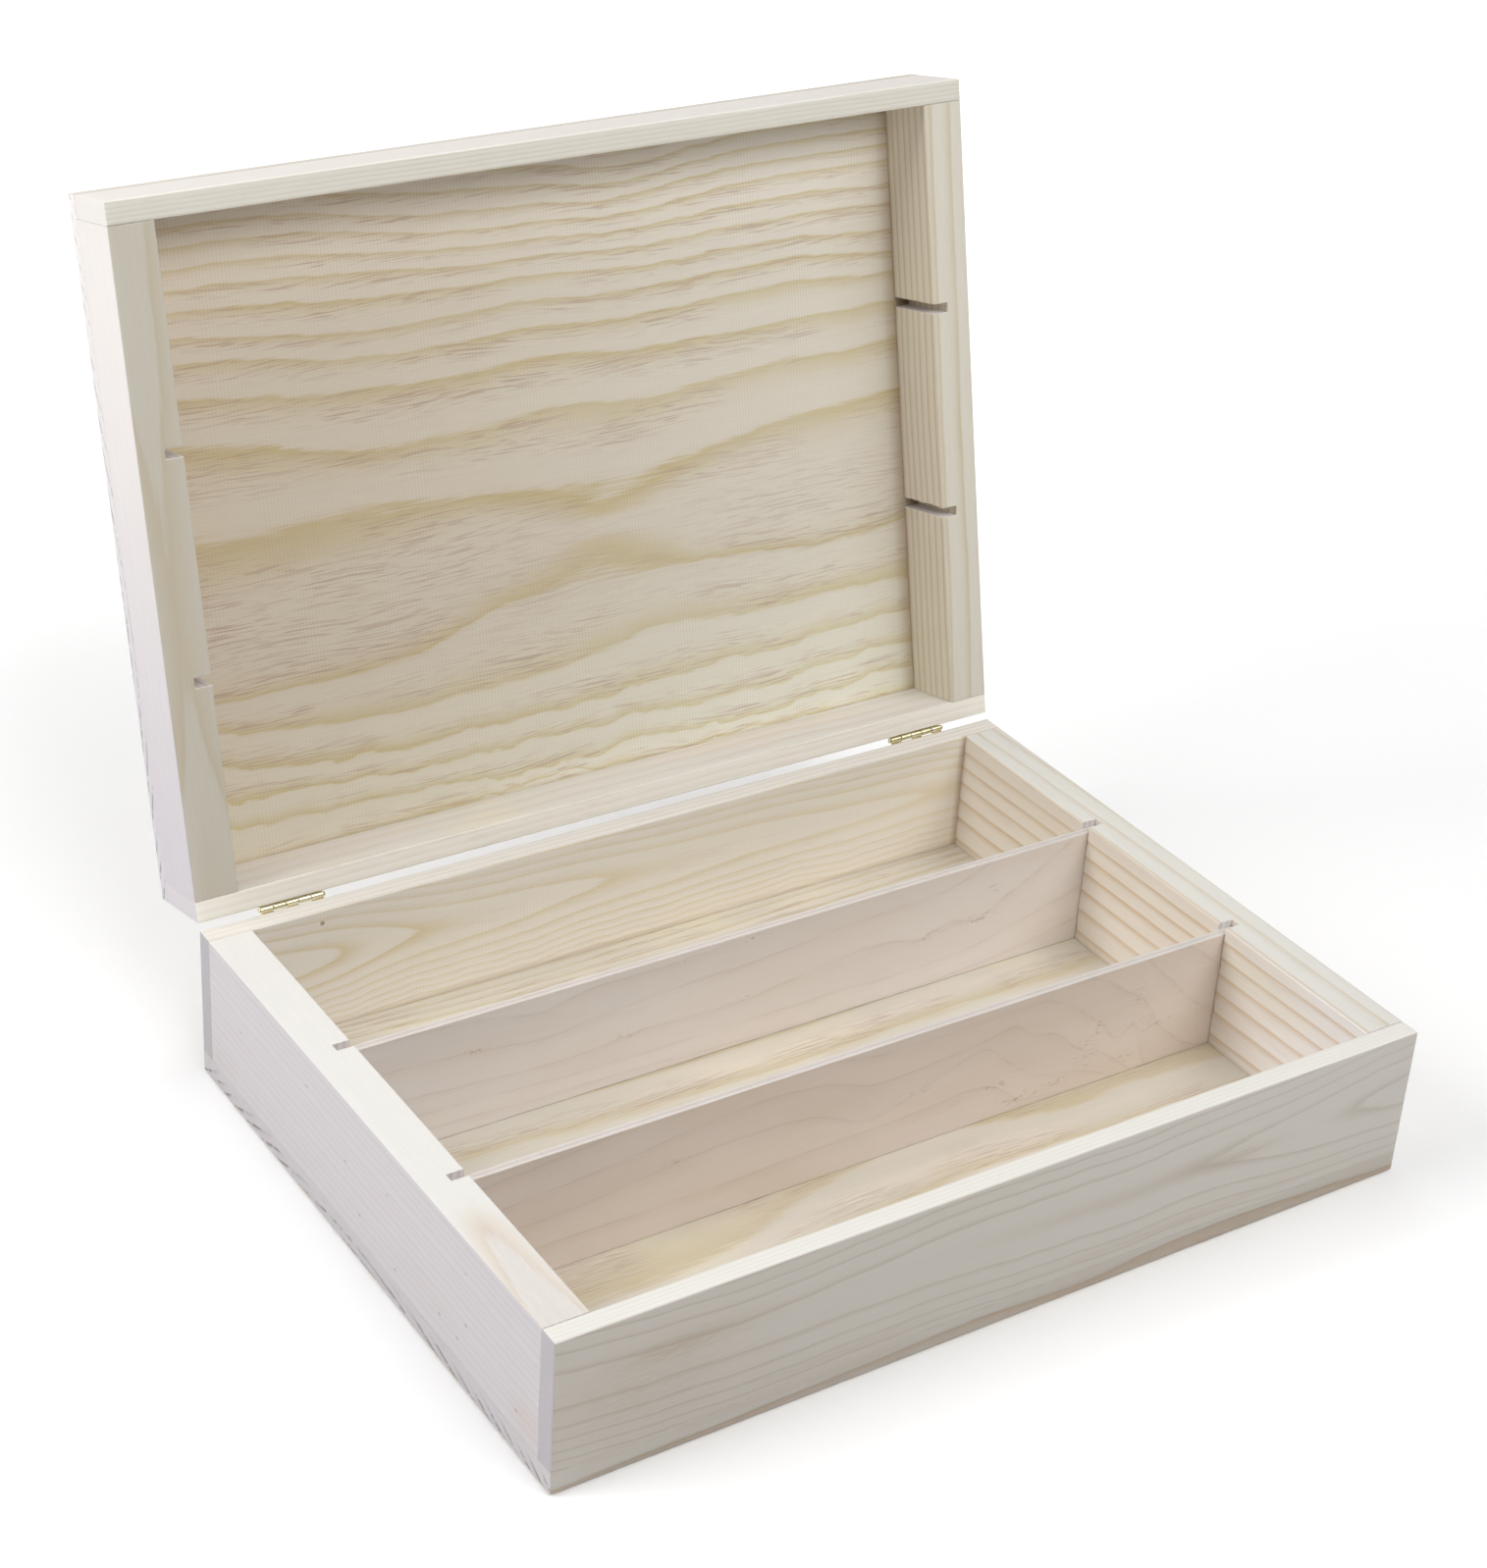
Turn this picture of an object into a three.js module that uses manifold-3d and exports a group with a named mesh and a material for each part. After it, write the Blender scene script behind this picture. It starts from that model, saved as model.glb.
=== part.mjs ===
// Hinged wooden compartment box, shown open.
//
// A glued pine box sawn apart into a deep tray and a shallower lid.  The front and
// back boards lap over the ends of the thicker side boards, solid panels close the
// underside and the top, and two loose plywood dividers stand in grooves in the side
// boards.  The grooves carry on into the lid, so the dividers also line up with it.
// Two brass butt hinges are nailed to the outside of the rear boards.
//
// Millimetres, +X right, +Y back, +Z up.  The origin is the centre of the tray's
// underside.
import * as THREE from 'three';
import { mergeVertices } from 'three/addons/utils/BufferGeometryUtils.js';
import Module from 'manifold-3d';

// ---------------------------------------------------------------- driving sizes
const WIDTH = 300;            // outside, along X
const DEPTH = 220;            // outside, along Y
const TRAY_H = 52;            // tray height with its bottom panel
const LID_H = 28.6;           // lid height with its top panel
const KERF = 0.3;             // gap left between the two rims when closed
const SIDE_T = 14.6;          // side boards
const END_T = 7;              // front and back boards
const BOTTOM_T = 8;           // bottom panel
const TOP_T = 5.5;            // lid's top panel
const GLUE = 0.06;            // glue line between neighbouring boards
const EASE = 0.6;             // outer edges broken with sandpaper
const EASE_PANEL = 1.2;       // rounding of the outer panel edges
const EASE_IN = 0.5;          // inner rim edges

const GROOVE_W = 3.3;
const GROOVE_DEEP = 5.7;
const GROOVE_Y = [-35.4, 34.9];   // groove centres: front divider, rear divider
const DIVIDER_T = 3;
const DIVIDER_TOP = 49.8;
const DIVIDER_END_GAP = 0.9;      // each end, to the bottom of its groove
const DIVIDER_FLOOR_GAP = 0.1;

const OPEN_DEG = 102.9;           // how far the lid stands open at rest
const HINGE_BACK = 1.1;           // hinge axis behind the rear face
const HINGE_UP = 0.68;            // hinge axis above the tray's rim
const HINGE_X = [-118.5, 119.6];  // hinge centres
const HINGE_L = 21.4;
const KNUCKLES = 5;
const KNUCKLE_R = 1.0;
const KNUCKLE_GAP = 0.16;
const BORE_R = 0.5;
const PIN_R = 0.42;
const PIN_HEAD_R = 0.75;
const LEAF_T = 0.5;
const LEAF_BACK = 0.08;           // leaf's back face to the wood
const LEAF_REACH = 8.2;           // axis to the leaf's far edge
const NAIL_X = 6.6;               // nails either side of the hinge centre
const NAIL_DOWN = 5.2;            // axis to the nails
const NAIL_R = 0.5;
const NAIL_HOLE_R = 0.58;
const NAIL_HEAD_R = 1.15;
const NAIL_HEAD_H = 0.45;
const NAIL_TRAY_TIP = 0.15;       // tray nails just show inside the back board
const NAIL_LID_SHORT = 0.8;       // lid nails stop short of the inside face

const HW = WIDTH / 2, HD = DEPTH / 2;
const AXIS_Y = HD + HINGE_BACK, AXIS_Z = TRAY_H + HINGE_UP;
const LID_0 = TRAY_H + KERF, LID_1 = LID_0 + LID_H;

// ---------------------------------------------------------------- solid helpers
const wasm = await Module();
wasm.setup();

function solid(geometry) {
  const g = geometry.clone();
  g.deleteAttribute('normal');
  g.deleteAttribute('uv');
  const m = mergeVertices(g, 1e-4);
  return new wasm.Manifold(new wasm.Mesh({
    numProp: 3,
    vertProperties: new Float32Array(m.attributes.position.array),
    triVerts: new Uint32Array(m.index.array),
  }));
}

function geometryOf(manifold) {
  const mesh = manifold.getMesh();
  const n = mesh.numProp, count = mesh.vertProperties.length / n;
  const pos = new Float32Array(count * 3);
  for (let i = 0; i < count; i++)
    for (let k = 0; k < 3; k++) pos[3 * i + k] = mesh.vertProperties[n * i + k];
  const g = new THREE.BufferGeometry();
  g.setAttribute('position', new THREE.BufferAttribute(pos, 3));
  g.setIndex(new THREE.BufferAttribute(new Uint32Array(mesh.triVerts), 1));
  g.computeVertexNormals();
  return g;
}

// A prism along a row axis: a closed outline in the two following axes, extruded.
function prism(axis, outline, a0, a1) {
  const shape = new THREE.Shape(outline.map(([u, v]) => new THREE.Vector2(u, v)));
  const g = new THREE.ExtrudeGeometry(shape, { depth: a1 - a0, bevelEnabled: false });
  g.translate(0, 0, a0);
  const X = new THREE.Vector3(1, 0, 0), Y = new THREE.Vector3(0, 1, 0), Z = new THREE.Vector3(0, 0, 1);
  const m = new THREE.Matrix4();
  if (axis === 'x') m.makeBasis(Y, Z, X);
  if (axis === 'y') m.makeBasis(Z, X, Y);
  if (axis === 'z') m.makeBasis(X, Y, Z);
  g.applyMatrix4(m);
  return g;
}

// Rectangle with a radius at each corner: lower left, lower right, upper right, upper left.
function roundedRect(u0, u1, v0, v1, radii, steps = 4) {
  const corners = [[u0, v0, 1, 1, 180], [u1, v0, -1, 1, 270], [u1, v1, -1, -1, 0], [u0, v1, 1, -1, 90]];
  const out = [];
  corners.forEach(([u, v, su, sv, from], i) => {
    const r = radii[i];
    if (r <= 0) { out.push([u, v]); return; }
    for (let k = 0; k <= steps; k++) {
      const a = THREE.MathUtils.degToRad(from + 90 * k / steps);
      out.push([u + su * r + r * Math.cos(a), v + sv * r + r * Math.sin(a)]);
    }
  });
  return out;
}

function box(x0, x1, y0, y1, z0, z1) {
  const g = new THREE.BoxGeometry(x1 - x0, y1 - y0, z1 - z0);
  g.translate((x0 + x1) / 2, (y0 + y1) / 2, (z0 + z1) / 2);
  return solid(g);
}

// A round bar along a row axis.
function bar(axis, r, a0, a1, p, q, sides = 24) {
  const outline = [];
  for (let k = 0; k < sides; k++) {
    const a = 2 * Math.PI * (k + 0.5) / sides;
    outline.push([p + r * Math.cos(a), q + r * Math.sin(a)]);
  }
  return solid(prism(axis, outline, a0, a1));
}

// The outer form of a half of the box, with its edges eased, that every board is cut to.
function outerForm(z0, z1, rLow, rHigh) {
  const plan = solid(prism('z', roundedRect(-HW, HW, -HD, HD, [EASE, EASE, EASE, EASE]), z0, z1));
  const side = solid(prism('x', roundedRect(-HD, HD, z0, z1, [rLow, rLow, rHigh, rHigh]), -HW - 1, HW + 1));
  const front = solid(prism('y', roundedRect(z0, z1, -HW, HW, [rLow, rHigh, rHigh, rLow]), -HD - 1, HD + 1));
  return plan.intersect(side).intersect(front);
}

// The hollow of a half of the box, its mouth eased at the rim (up = +1 above, -1 below).
function mouth(zRim, up) {
  const x = HW - SIDE_T, y = HD - END_T, e = EASE_IN;
  const ring = new THREE.BufferGeometry();
  const z0 = zRim - up * e, z1 = zRim + up * e;
  const a = [[-x, -y], [x, -y], [x, y], [-x, y]];
  const b = [[-x - 2 * e, -y - 2 * e], [x + 2 * e, -y - 2 * e], [x + 2 * e, y + 2 * e], [-x - 2 * e, y + 2 * e]];
  const low = up > 0 ? a : b, high = up > 0 ? b : a;
  const zl = Math.min(z0, z1), zh = Math.max(z0, z1);
  const pos = [];
  for (const [px, py] of low) pos.push(px, py, zl);
  for (const [px, py] of high) pos.push(px, py, zh);
  ring.setAttribute('position', new THREE.Float32BufferAttribute(pos, 3));
  const idx = [0, 2, 1, 0, 3, 2, 4, 5, 6, 4, 6, 7];
  for (let i = 0; i < 4; i++) {
    const j = (i + 1) % 4;
    idx.push(i, j, 4 + j, i, 4 + j, 4 + i);
  }
  ring.setIndex(idx);
  return new wasm.Manifold(new wasm.Mesh({
    numProp: 3, vertProperties: new Float32Array(pos), triVerts: new Uint32Array(idx),
  }));
}

// ---------------------------------------------------------------- materials
const finish = (color, roughness, metalness) => new THREE.MeshStandardMaterial({ color, roughness, metalness });
const pine = () => finish(0xe3dccd, 0.72, 0);
const ply = () => finish(0xcabfb4, 0.62, 0);
const brass = () => finish(0xc9a64a, 0.3, 1);

const named = (name, manifold, material) => {
  const mesh = new THREE.Mesh(geometryOf(manifold), material);
  mesh.name = name;
  return mesh;
};

// ---------------------------------------------------------------- boards
const trayForm = outerForm(0, TRAY_H, EASE_PANEL, EASE);
const lidForm = outerForm(LID_0, LID_1, EASE, EASE_PANEL);
const trayMouth = mouth(TRAY_H, 1);
const lidMouth = mouth(LID_0, -1);

const xi = HW - SIDE_T, yi = HD - END_T;   // inside faces
const g2 = GLUE / 2;

function grooves(manifold, side, z0, z1) {
  let m = manifold;
  const xa = side < 0 ? -xi - GROOVE_DEEP : xi - 1, xb = side < 0 ? -xi + 1 : xi + GROOVE_DEEP;
  for (const y of GROOVE_Y) m = m.subtract(box(xa, xb, y - GROOVE_W / 2, y + GROOVE_W / 2, z0, z1));
  return m;
}

function nailHoles(manifold, z) {
  let m = manifold;
  for (const hx of HINGE_X)
    for (const s of [-1, 1])
      m = m.subtract(bar('y', NAIL_HOLE_R, HD - END_T - 1, HD + 1, z, hx + s * NAIL_X, 12));
  return m;
}

const nailTrayZ = AXIS_Z - NAIL_DOWN, nailLidZ = AXIS_Z + NAIL_DOWN;

const trayBox = (x0, x1, y0, y1) =>
  trayForm.intersect(box(x0, x1, y0, y1, BOTTOM_T + g2, TRAY_H + 1)).subtract(trayMouth);
const lidBox = (x0, x1, y0, y1) =>
  lidForm.intersect(box(x0, x1, y0, y1, LID_0 - 1, LID_1 - TOP_T - g2)).subtract(lidMouth);

const group = new THREE.Group();
group.add(
  named('base_bottom_panel', trayForm.intersect(box(-HW - 1, HW + 1, -HD - 1, HD + 1, -1, BOTTOM_T - g2)), pine()),
  named('base_front_board', trayBox(-HW - 1, HW + 1, -HD - 1, -yi), pine()),
  named('base_back_board', nailHoles(trayBox(-HW - 1, HW + 1, yi, HD + 1), nailTrayZ), pine()),
  named('base_left_board', grooves(trayBox(-HW - 1, -xi, -yi + GLUE, yi - GLUE), -1, BOTTOM_T - 1, TRAY_H + 1), pine()),
  named('base_right_board', grooves(trayBox(xi, HW + 1, -yi + GLUE, yi - GLUE), 1, BOTTOM_T - 1, TRAY_H + 1), pine()),
);

// ---------------------------------------------------------------- dividers
const dx = xi + GROOVE_DEEP - DIVIDER_END_GAP;
const dividerLow = BOTTOM_T + DIVIDER_FLOOR_GAP;
['divider_front', 'divider_rear'].forEach((name, i) => {
  const y = GROOVE_Y[i], e = 0.35;
  const section = roundedRect(y - DIVIDER_T / 2, y + DIVIDER_T / 2, dividerLow, DIVIDER_TOP, [e, e, e, e], 2);
  group.add(named(name, solid(prism('x', section, -dx, dx)), ply()));
});

// ---------------------------------------------------------------- hinges
// Knuckles 0, 2 and 4 belong to the tray leaf, 1 and 3 to the lid leaf.
function knuckleSpan(hx, i) {
  const w = HINGE_L / KNUCKLES;
  return [hx - HINGE_L / 2 + i * w + KNUCKLE_GAP / 2, hx - HINGE_L / 2 + (i + 1) * w - KNUCKLE_GAP / 2];
}

function leaf(hx, down) {
  const mine = down ? [0, 2, 4] : [1, 3], theirs = down ? [1, 3] : [0, 2, 4];
  const s = down ? -1 : 1;
  const y0 = HD + LEAF_BACK, y1 = y0 + LEAF_T;
  const za = AXIS_Z + s * 0.2, zb = AXIS_Z + s * LEAF_REACH;
  const zl = Math.min(za, zb), zh = Math.max(za, zb);
  const r = 0.8;
  const plate = roundedRect(zl, zh, hx - HINGE_L / 2 + KNUCKLE_GAP / 2, hx + HINGE_L / 2 - KNUCKLE_GAP / 2,
    down ? [r, 0, 0, r] : [0, r, r, 0], 4);
  let m = solid(prism('y', plate, y0, y1));
  for (const i of mine) {
    const [a, b] = knuckleSpan(hx, i);
    m = m.add(bar('x', KNUCKLE_R, a, b, AXIS_Y, AXIS_Z, 28));
  }
  for (const i of theirs) {
    const [a, b] = knuckleSpan(hx, i);
    m = m.subtract(box(a - KNUCKLE_GAP, b + KNUCKLE_GAP, y0 - 1, AXIS_Y + 3,
      AXIS_Z - KNUCKLE_R - 0.25, AXIS_Z + KNUCKLE_R + 0.25));
  }
  m = m.subtract(bar('x', BORE_R, hx - HINGE_L, hx + HINGE_L, AXIS_Y, AXIS_Z, 20));
  for (const k of [-1, 1])
    m = m.subtract(bar('y', NAIL_HOLE_R, y0 - 1, y1 + 1, AXIS_Z + s * NAIL_DOWN, hx + k * NAIL_X, 16));
  return m;
}

function pin(hx) {
  const h = HINGE_L / 2;
  const profile = [[0, -h - 0.42], [0.5, -h - 0.4], [PIN_HEAD_R, -h - 0.16], [PIN_HEAD_R, -h - 0.04], [PIN_R, -h - 0.04],
    [PIN_R, h + 0.04], [PIN_HEAD_R, h + 0.04], [PIN_HEAD_R, h + 0.16], [0.5, h + 0.4], [0, h + 0.42]];
  const g = new THREE.LatheGeometry(profile.map(([r, a]) => new THREE.Vector2(r, a)), 20);
  g.rotateZ(-Math.PI / 2);
  g.translate(hx, AXIS_Y, AXIS_Z);
  return solid(g);
}

function nail(x, z, length) {
  const head = HD + LEAF_BACK + LEAF_T + 0.03;
  const R = NAIL_HEAD_R, t = NAIL_HEAD_H;
  const profile = [[0, -length], [NAIL_R, -length + 0.9], [NAIL_R, 0], [R, 0], [R * 0.94, t * 0.42], [R * 0.72, t * 0.78],
    [R * 0.4, t * 0.96], [0, t]];
  const g = new THREE.LatheGeometry(profile.map(([r, a]) => new THREE.Vector2(r, a)), 16);
  g.translate(0, head, 0);
  g.translate(x, 0, z);
  return solid(g);
}

const lid = new THREE.Group();
const sides = ['left', 'right'];
const throughTray = END_T + LEAF_BACK + LEAF_T + 0.03 + NAIL_TRAY_TIP;
const intoLid = END_T + LEAF_BACK + LEAF_T + 0.03 - NAIL_LID_SHORT;
sides.forEach((side, i) => {
  const hx = HINGE_X[i];
  group.add(
    named(`hinge_${side}_tray_leaf`, leaf(hx, true), brass()),
    named(`hinge_${side}_pin`, pin(hx), brass()),
    named(`hinge_${side}_tray_nail_1`, nail(hx - NAIL_X, nailTrayZ, throughTray), brass()),
    named(`hinge_${side}_tray_nail_2`, nail(hx + NAIL_X, nailTrayZ, throughTray), brass()),
  );
  lid.add(
    named(`hinge_${side}_lid_leaf`, leaf(hx, false), brass()),
    named(`hinge_${side}_lid_nail_1`, nail(hx - NAIL_X, nailLidZ, intoLid), brass()),
    named(`hinge_${side}_lid_nail_2`, nail(hx + NAIL_X, nailLidZ, intoLid), brass()),
  );
});

// ---------------------------------------------------------------- lid
lid.add(
  named('lid_top_panel', lidForm.intersect(box(-HW - 1, HW + 1, -HD - 1, HD + 1, LID_1 - TOP_T + g2, LID_1 + 1)), pine()),
  named('lid_front_board', lidBox(-HW - 1, HW + 1, -HD - 1, -yi), pine()),
  named('lid_back_board', nailHoles(lidBox(-HW - 1, HW + 1, yi, HD + 1), nailLidZ), pine()),
  named('lid_left_board', grooves(lidBox(-HW - 1, -xi, -yi + GLUE, yi - GLUE), -1, LID_0 - 1, LID_1), pine()),
  named('lid_right_board', grooves(lidBox(xi, HW + 1, -yi + GLUE, yi - GLUE), 1, LID_0 - 1, LID_1), pine()),
);

// The lid is drawn closed above, and turned open here about the hinge axis.
lid.position.set(0, AXIS_Y, AXIS_Z);
lid.rotation.x = -THREE.MathUtils.degToRad(OPEN_DEG);
const closed = new THREE.Group();
closed.position.set(0, -AXIS_Y, -AXIS_Z);
while (lid.children.length) closed.add(lid.children[0]);
lid.add(closed);
group.add(lid);

export default group;
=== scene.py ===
import math

import bpy
import numpy as np
from mathutils import Matrix, Vector


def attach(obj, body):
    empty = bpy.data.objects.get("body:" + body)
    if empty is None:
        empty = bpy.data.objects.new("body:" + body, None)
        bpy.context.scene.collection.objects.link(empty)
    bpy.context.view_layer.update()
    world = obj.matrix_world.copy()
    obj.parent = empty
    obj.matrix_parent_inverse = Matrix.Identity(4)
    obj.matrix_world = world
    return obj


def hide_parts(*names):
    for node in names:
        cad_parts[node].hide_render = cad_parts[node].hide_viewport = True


# A hinged pine box with two loose plywood dividers: every board, divider and hinge
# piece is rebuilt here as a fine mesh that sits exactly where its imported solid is.
# Lengths in this file are millimetres unless a name says otherwise; MM makes metres.

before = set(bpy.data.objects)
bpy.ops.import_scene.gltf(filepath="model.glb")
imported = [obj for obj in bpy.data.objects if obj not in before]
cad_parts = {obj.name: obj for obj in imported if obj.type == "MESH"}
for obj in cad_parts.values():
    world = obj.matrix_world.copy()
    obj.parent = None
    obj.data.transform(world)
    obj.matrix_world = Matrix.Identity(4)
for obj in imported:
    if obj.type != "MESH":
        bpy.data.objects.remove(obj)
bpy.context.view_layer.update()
MM = 0.001

# ------------------------------------------------------------------ sizes (mm)
HW, HD = 150.0, 110.0
SIDE_T, END_T = 14.6, 7.0
XI, YI = HW - SIDE_T, HD - END_T
TRAY_H, KERF, LID_H, BOTTOM_T, TOP_T, GLUE = 52.0, 0.3, 28.6, 8.0, 5.5, 0.06
LID_0 = TRAY_H + KERF
LID_1 = LID_0 + LID_H
EASE, EASE_PANEL, EASE_IN = 0.6, 1.2, 0.5
GROOVE_W, GROOVE_DEEP, GROOVE_Y = 3.3, 5.7, (-35.4, 34.9)
DIVIDER_T, DIVIDER_TOP, DIVIDER_LOW, DIVIDER_X = 3.0, 49.8, 8.1, 140.2
AXIS_Y, AXIS_Z, OPEN_DEG = 111.1, 52.68, 102.9
HINGE_X, HINGE_L = (-118.5, 119.6), 21.4
KNUCKLE_R, BORE_R, PIN_R, PIN_HEAD_R = 1.0, 0.5, 0.42, 0.75
LEAF_T, LEAF_Y, LEAF_REACH, NAIL_X, NAIL_DOWN = 0.5, 110.08, 8.2, 6.6, 5.2
G2 = GLUE / 2


# ------------------------------------------------------------------ small helpers
def _h(n, seed):
    x = (np.asarray(n, np.int64) * 374761393 + seed * 668265263) & 0xFFFFFFFF
    x = ((x ^ (x >> 13)) * 1274126177) & 0xFFFFFFFF
    x = x ^ (x >> 16)
    return x / 4294967295.0 * 2 - 1


def wob(x, step, seed):
    """Smooth noise along a line, -1..1."""
    x = np.asarray(x, float) / step + 1000
    i = np.floor(x).astype(np.int64)
    f = x - i
    f = f * f * (3 - 2 * f)
    return _h(i, seed) * (1 - f) + _h(i + 1, seed) * f


def curve(x, pts):
    """A smooth curve through (x, y) points, going straight on past its ends."""
    px = np.array([p[0] for p in pts], float)
    py = np.array([p[1] for p in pts], float)
    x = np.asarray(x, float)
    d = np.diff(py) / np.diff(px)
    m = np.concatenate([[d[0]], (d[:-1] + d[1:]) / 2, [d[-1]]])
    i = np.clip(np.searchsorted(px, x) - 1, 0, len(px) - 2)
    h = px[i + 1] - px[i]
    t = np.clip((x - px[i]) / h, 0, 1)
    y = ((2 * t**3 - 3 * t**2 + 1) * py[i] + (t**3 - 2 * t**2 + t) * h * m[i]
         + (-2 * t**3 + 3 * t**2) * py[i + 1] + (t**3 - t**2) * h * m[i + 1])
    y = y + np.where(x < px[0], (x - px[0]) * m[0], 0) + np.where(x > px[-1], (x - px[-1]) * m[-1], 0)
    return y


def family(a, c, lines):
    """Growth-ring count at (a, c): lines is a list of (level, points), lowest c first."""
    cs = [curve(a, p) for _, p in lines]
    lv = [l for l, _ in lines]
    out = np.full(np.shape(a), float(lv[0]))
    lo_step = np.maximum(cs[1] - cs[0], 0.5)
    out = lv[0] - (lv[1] - lv[0]) * (cs[0] - c) / lo_step
    for k in range(len(cs) - 1):
        w = np.maximum(cs[k + 1] - cs[k], 0.05)
        f = (c - cs[k]) / w
        out = np.where(c >= cs[k], lv[k] + (lv[k + 1] - lv[k]) * f, out)
    return out


def cathedral(a, c, high, mid, scale, power=1.7):
    """Flat-sawn figure: nested arches around a centre line."""
    return curve(a, high) - np.power(np.abs(c - curve(a, mid)) / scale + 1e-6, power)


def stations(xs, ys):
    return list(zip(xs, ys))


# ------------------------------------------------------------------ mesh building
def cuts(lo, hi, r_lo, r_hi, step, fixed=(), near=None):
    """Grid positions: fine beside both edges, even between, with some fixed ones."""
    fr = (0.0, 0.1, 0.3, 0.58, 1.0)
    a = [lo + r_lo * f for f in fr] if r_lo else [lo]
    b = [hi - r_hi * f for f in fr] if r_hi else [hi]
    s, e = a[-1], b[-1]
    n = max(1, round((e - s) / step))
    mid = [s + (e - s) * i / n for i in range(1, n)]
    keep = sorted(set([round(v, 5) for v in a + b + list(fixed)]))
    tol = step * 0.34
    mid = [m for m in mid if min(abs(m - k) for k in keep) > tol]
    out = sorted(keep + mid)
    res = [out[0]]
    for v in out[1:]:
        if v - res[-1] > 1e-4:
            res.append(v)
    return np.array(res)


def grid_solid(xs, ys, zs, solid=None):
    """The surface of a block of cells as shared vertices and outward quads, with each quad's side."""
    nx, ny, nz = len(xs) - 1, len(ys) - 1, len(zs) - 1
    occ = np.ones((nx, ny, nz), bool) if solid is None else solid
    pad = np.zeros((nx + 2, ny + 2, nz + 2), bool)
    pad[1:-1, 1:-1, 1:-1] = occ

    def vid(i, j, k):
        return (i * (ny + 1) + j) * (nz + 1) + k

    quads, sides = [], []
    for axis in range(3):
        a = np.swapaxes(pad, 0, axis)
        if axis == 0:
            a = pad[:, 1:-1, 1:-1]
            low, high = a[:-1], a[1:]
        elif axis == 1:
            a = pad[1:-1, :, 1:-1]
            low, high = a[:, :-1], a[:, 1:]
        else:
            a = pad[1:-1, 1:-1, :]
            low, high = a[:, :, :-1], a[:, :, 1:]
        for sign, mask in ((1, low & ~high), (-1, ~low & high)):
            i, j, k = np.nonzero(mask)
            if not len(i):
                continue
            if axis == 0:
                q = [vid(i, j, k), vid(i, j + 1, k), vid(i, j + 1, k + 1), vid(i, j, k + 1)]
            elif axis == 1:
                q = [vid(i, j, k), vid(i, j, k + 1), vid(i + 1, j, k + 1), vid(i + 1, j, k)]
            else:
                q = [vid(i, j, k), vid(i + 1, j, k), vid(i + 1, j + 1, k), vid(i, j + 1, k)]
            if sign < 0:
                q = q[::-1]
            quads.append(np.stack(q, 1))
            sides.append(np.full(len(i), sign * (axis + 1)))
    quads, sides = np.concatenate(quads), np.concatenate(sides)
    used, inv = np.unique(quads, return_inverse=True)
    quads = inv.reshape(quads.shape)
    k = used % (nz + 1)
    j = (used // (nz + 1)) % (ny + 1)
    i = used // ((nz + 1) * (ny + 1))
    verts = np.stack([xs[i], ys[j], zs[k]], 1).astype(float)
    return verts, quads, sides


def soften(V, axis, b, c, r, span=None):
    """Rounds one edge along `axis`.  b and c are (face position, inward sign) on the other two
    axes in turn; r is a radius or a function of the place along the edge."""
    ib, ic = (axis + 1) % 3, (axis + 2) % 3
    rr = r(V[:, axis]) if callable(r) else np.full(len(V), float(r))
    db, dc = b[1] * (V[:, ib] - b[0]), c[1] * (V[:, ic] - c[0])
    on = (db > -1e-6) & (dc > -1e-6) & (db < rr) & (dc < rr) & (rr > 1e-4)
    if span is not None:
        on &= (V[:, axis] > span[0] - 1e-6) & (V[:, axis] < span[1] + 1e-6)
    u, v = rr - db, rr - dc
    l = np.hypot(u, v)
    on &= l > rr
    s = rr[on] / l[on]
    V[on, ib] = b[0] + b[1] * (rr[on] - u[on] * s)
    V[on, ic] = c[0] + c[1] * (rr[on] - v[on] * s)


def mesh_object(name, V, F, mat, smooth_deg=32):
    me = bpy.data.meshes.new(name)
    me.from_pydata((V * MM).tolist(), [], F.tolist() if isinstance(F, np.ndarray) else F)
    me.polygons.foreach_set("use_smooth", np.ones(len(me.polygons), bool))
    me.update()
    me.set_sharp_from_angle(angle=math.radians(smooth_deg))
    ob = bpy.data.objects.new(name, me)
    bpy.context.scene.collection.objects.link(ob)
    me.materials.append(mat)
    return ob


TURN = math.radians(-OPEN_DEG)


def opened(V):
    """Closed-lid coordinates to the open lid."""
    c, s = math.cos(TURN), math.sin(TURN)
    dy, dz = V[:, 1] - AXIS_Y, V[:, 2] - AXIS_Z
    return np.stack([V[:, 0], AXIS_Y + dy * c - dz * s, AXIS_Z + dy * s + dz * c], 1)


def set_attributes(ob, gc, ring, end, stain, rim_faces=None):
    me = ob.data
    at = me.attributes.new("gc", "FLOAT_VECTOR", "POINT")
    at.data.foreach_set("vector", np.ascontiguousarray(gc, np.float32).ravel())
    at = me.attributes.new("ring", "FLOAT", "CORNER")
    at.data.foreach_set("value", np.ascontiguousarray(ring, np.float32))
    at = me.attributes.new("stain", "FLOAT", "CORNER")
    at.data.foreach_set("value", np.ascontiguousarray(stain, np.float32))
    at = me.attributes.new("endg", "FLOAT", "FACE")
    at.data.foreach_set("value", np.ascontiguousarray(end, np.float32))
    if rim_faces is not None:
        at = me.attributes.new("rim_faces", "FLOAT", "FACE")
        at.data.foreach_set("value", np.ascontiguousarray(rim_faces, np.float32))


def spots(a, c, places):
    """Soft round or long marks: (a, c, half length, half width, strength)."""
    out = np.zeros(np.shape(a))
    for pa, pc, la, lc, s in places:
        out = np.maximum(out, s * np.exp(-((a - pa) / la) ** 2 - ((c - pc) / lc) ** 2))
    return out


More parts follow.
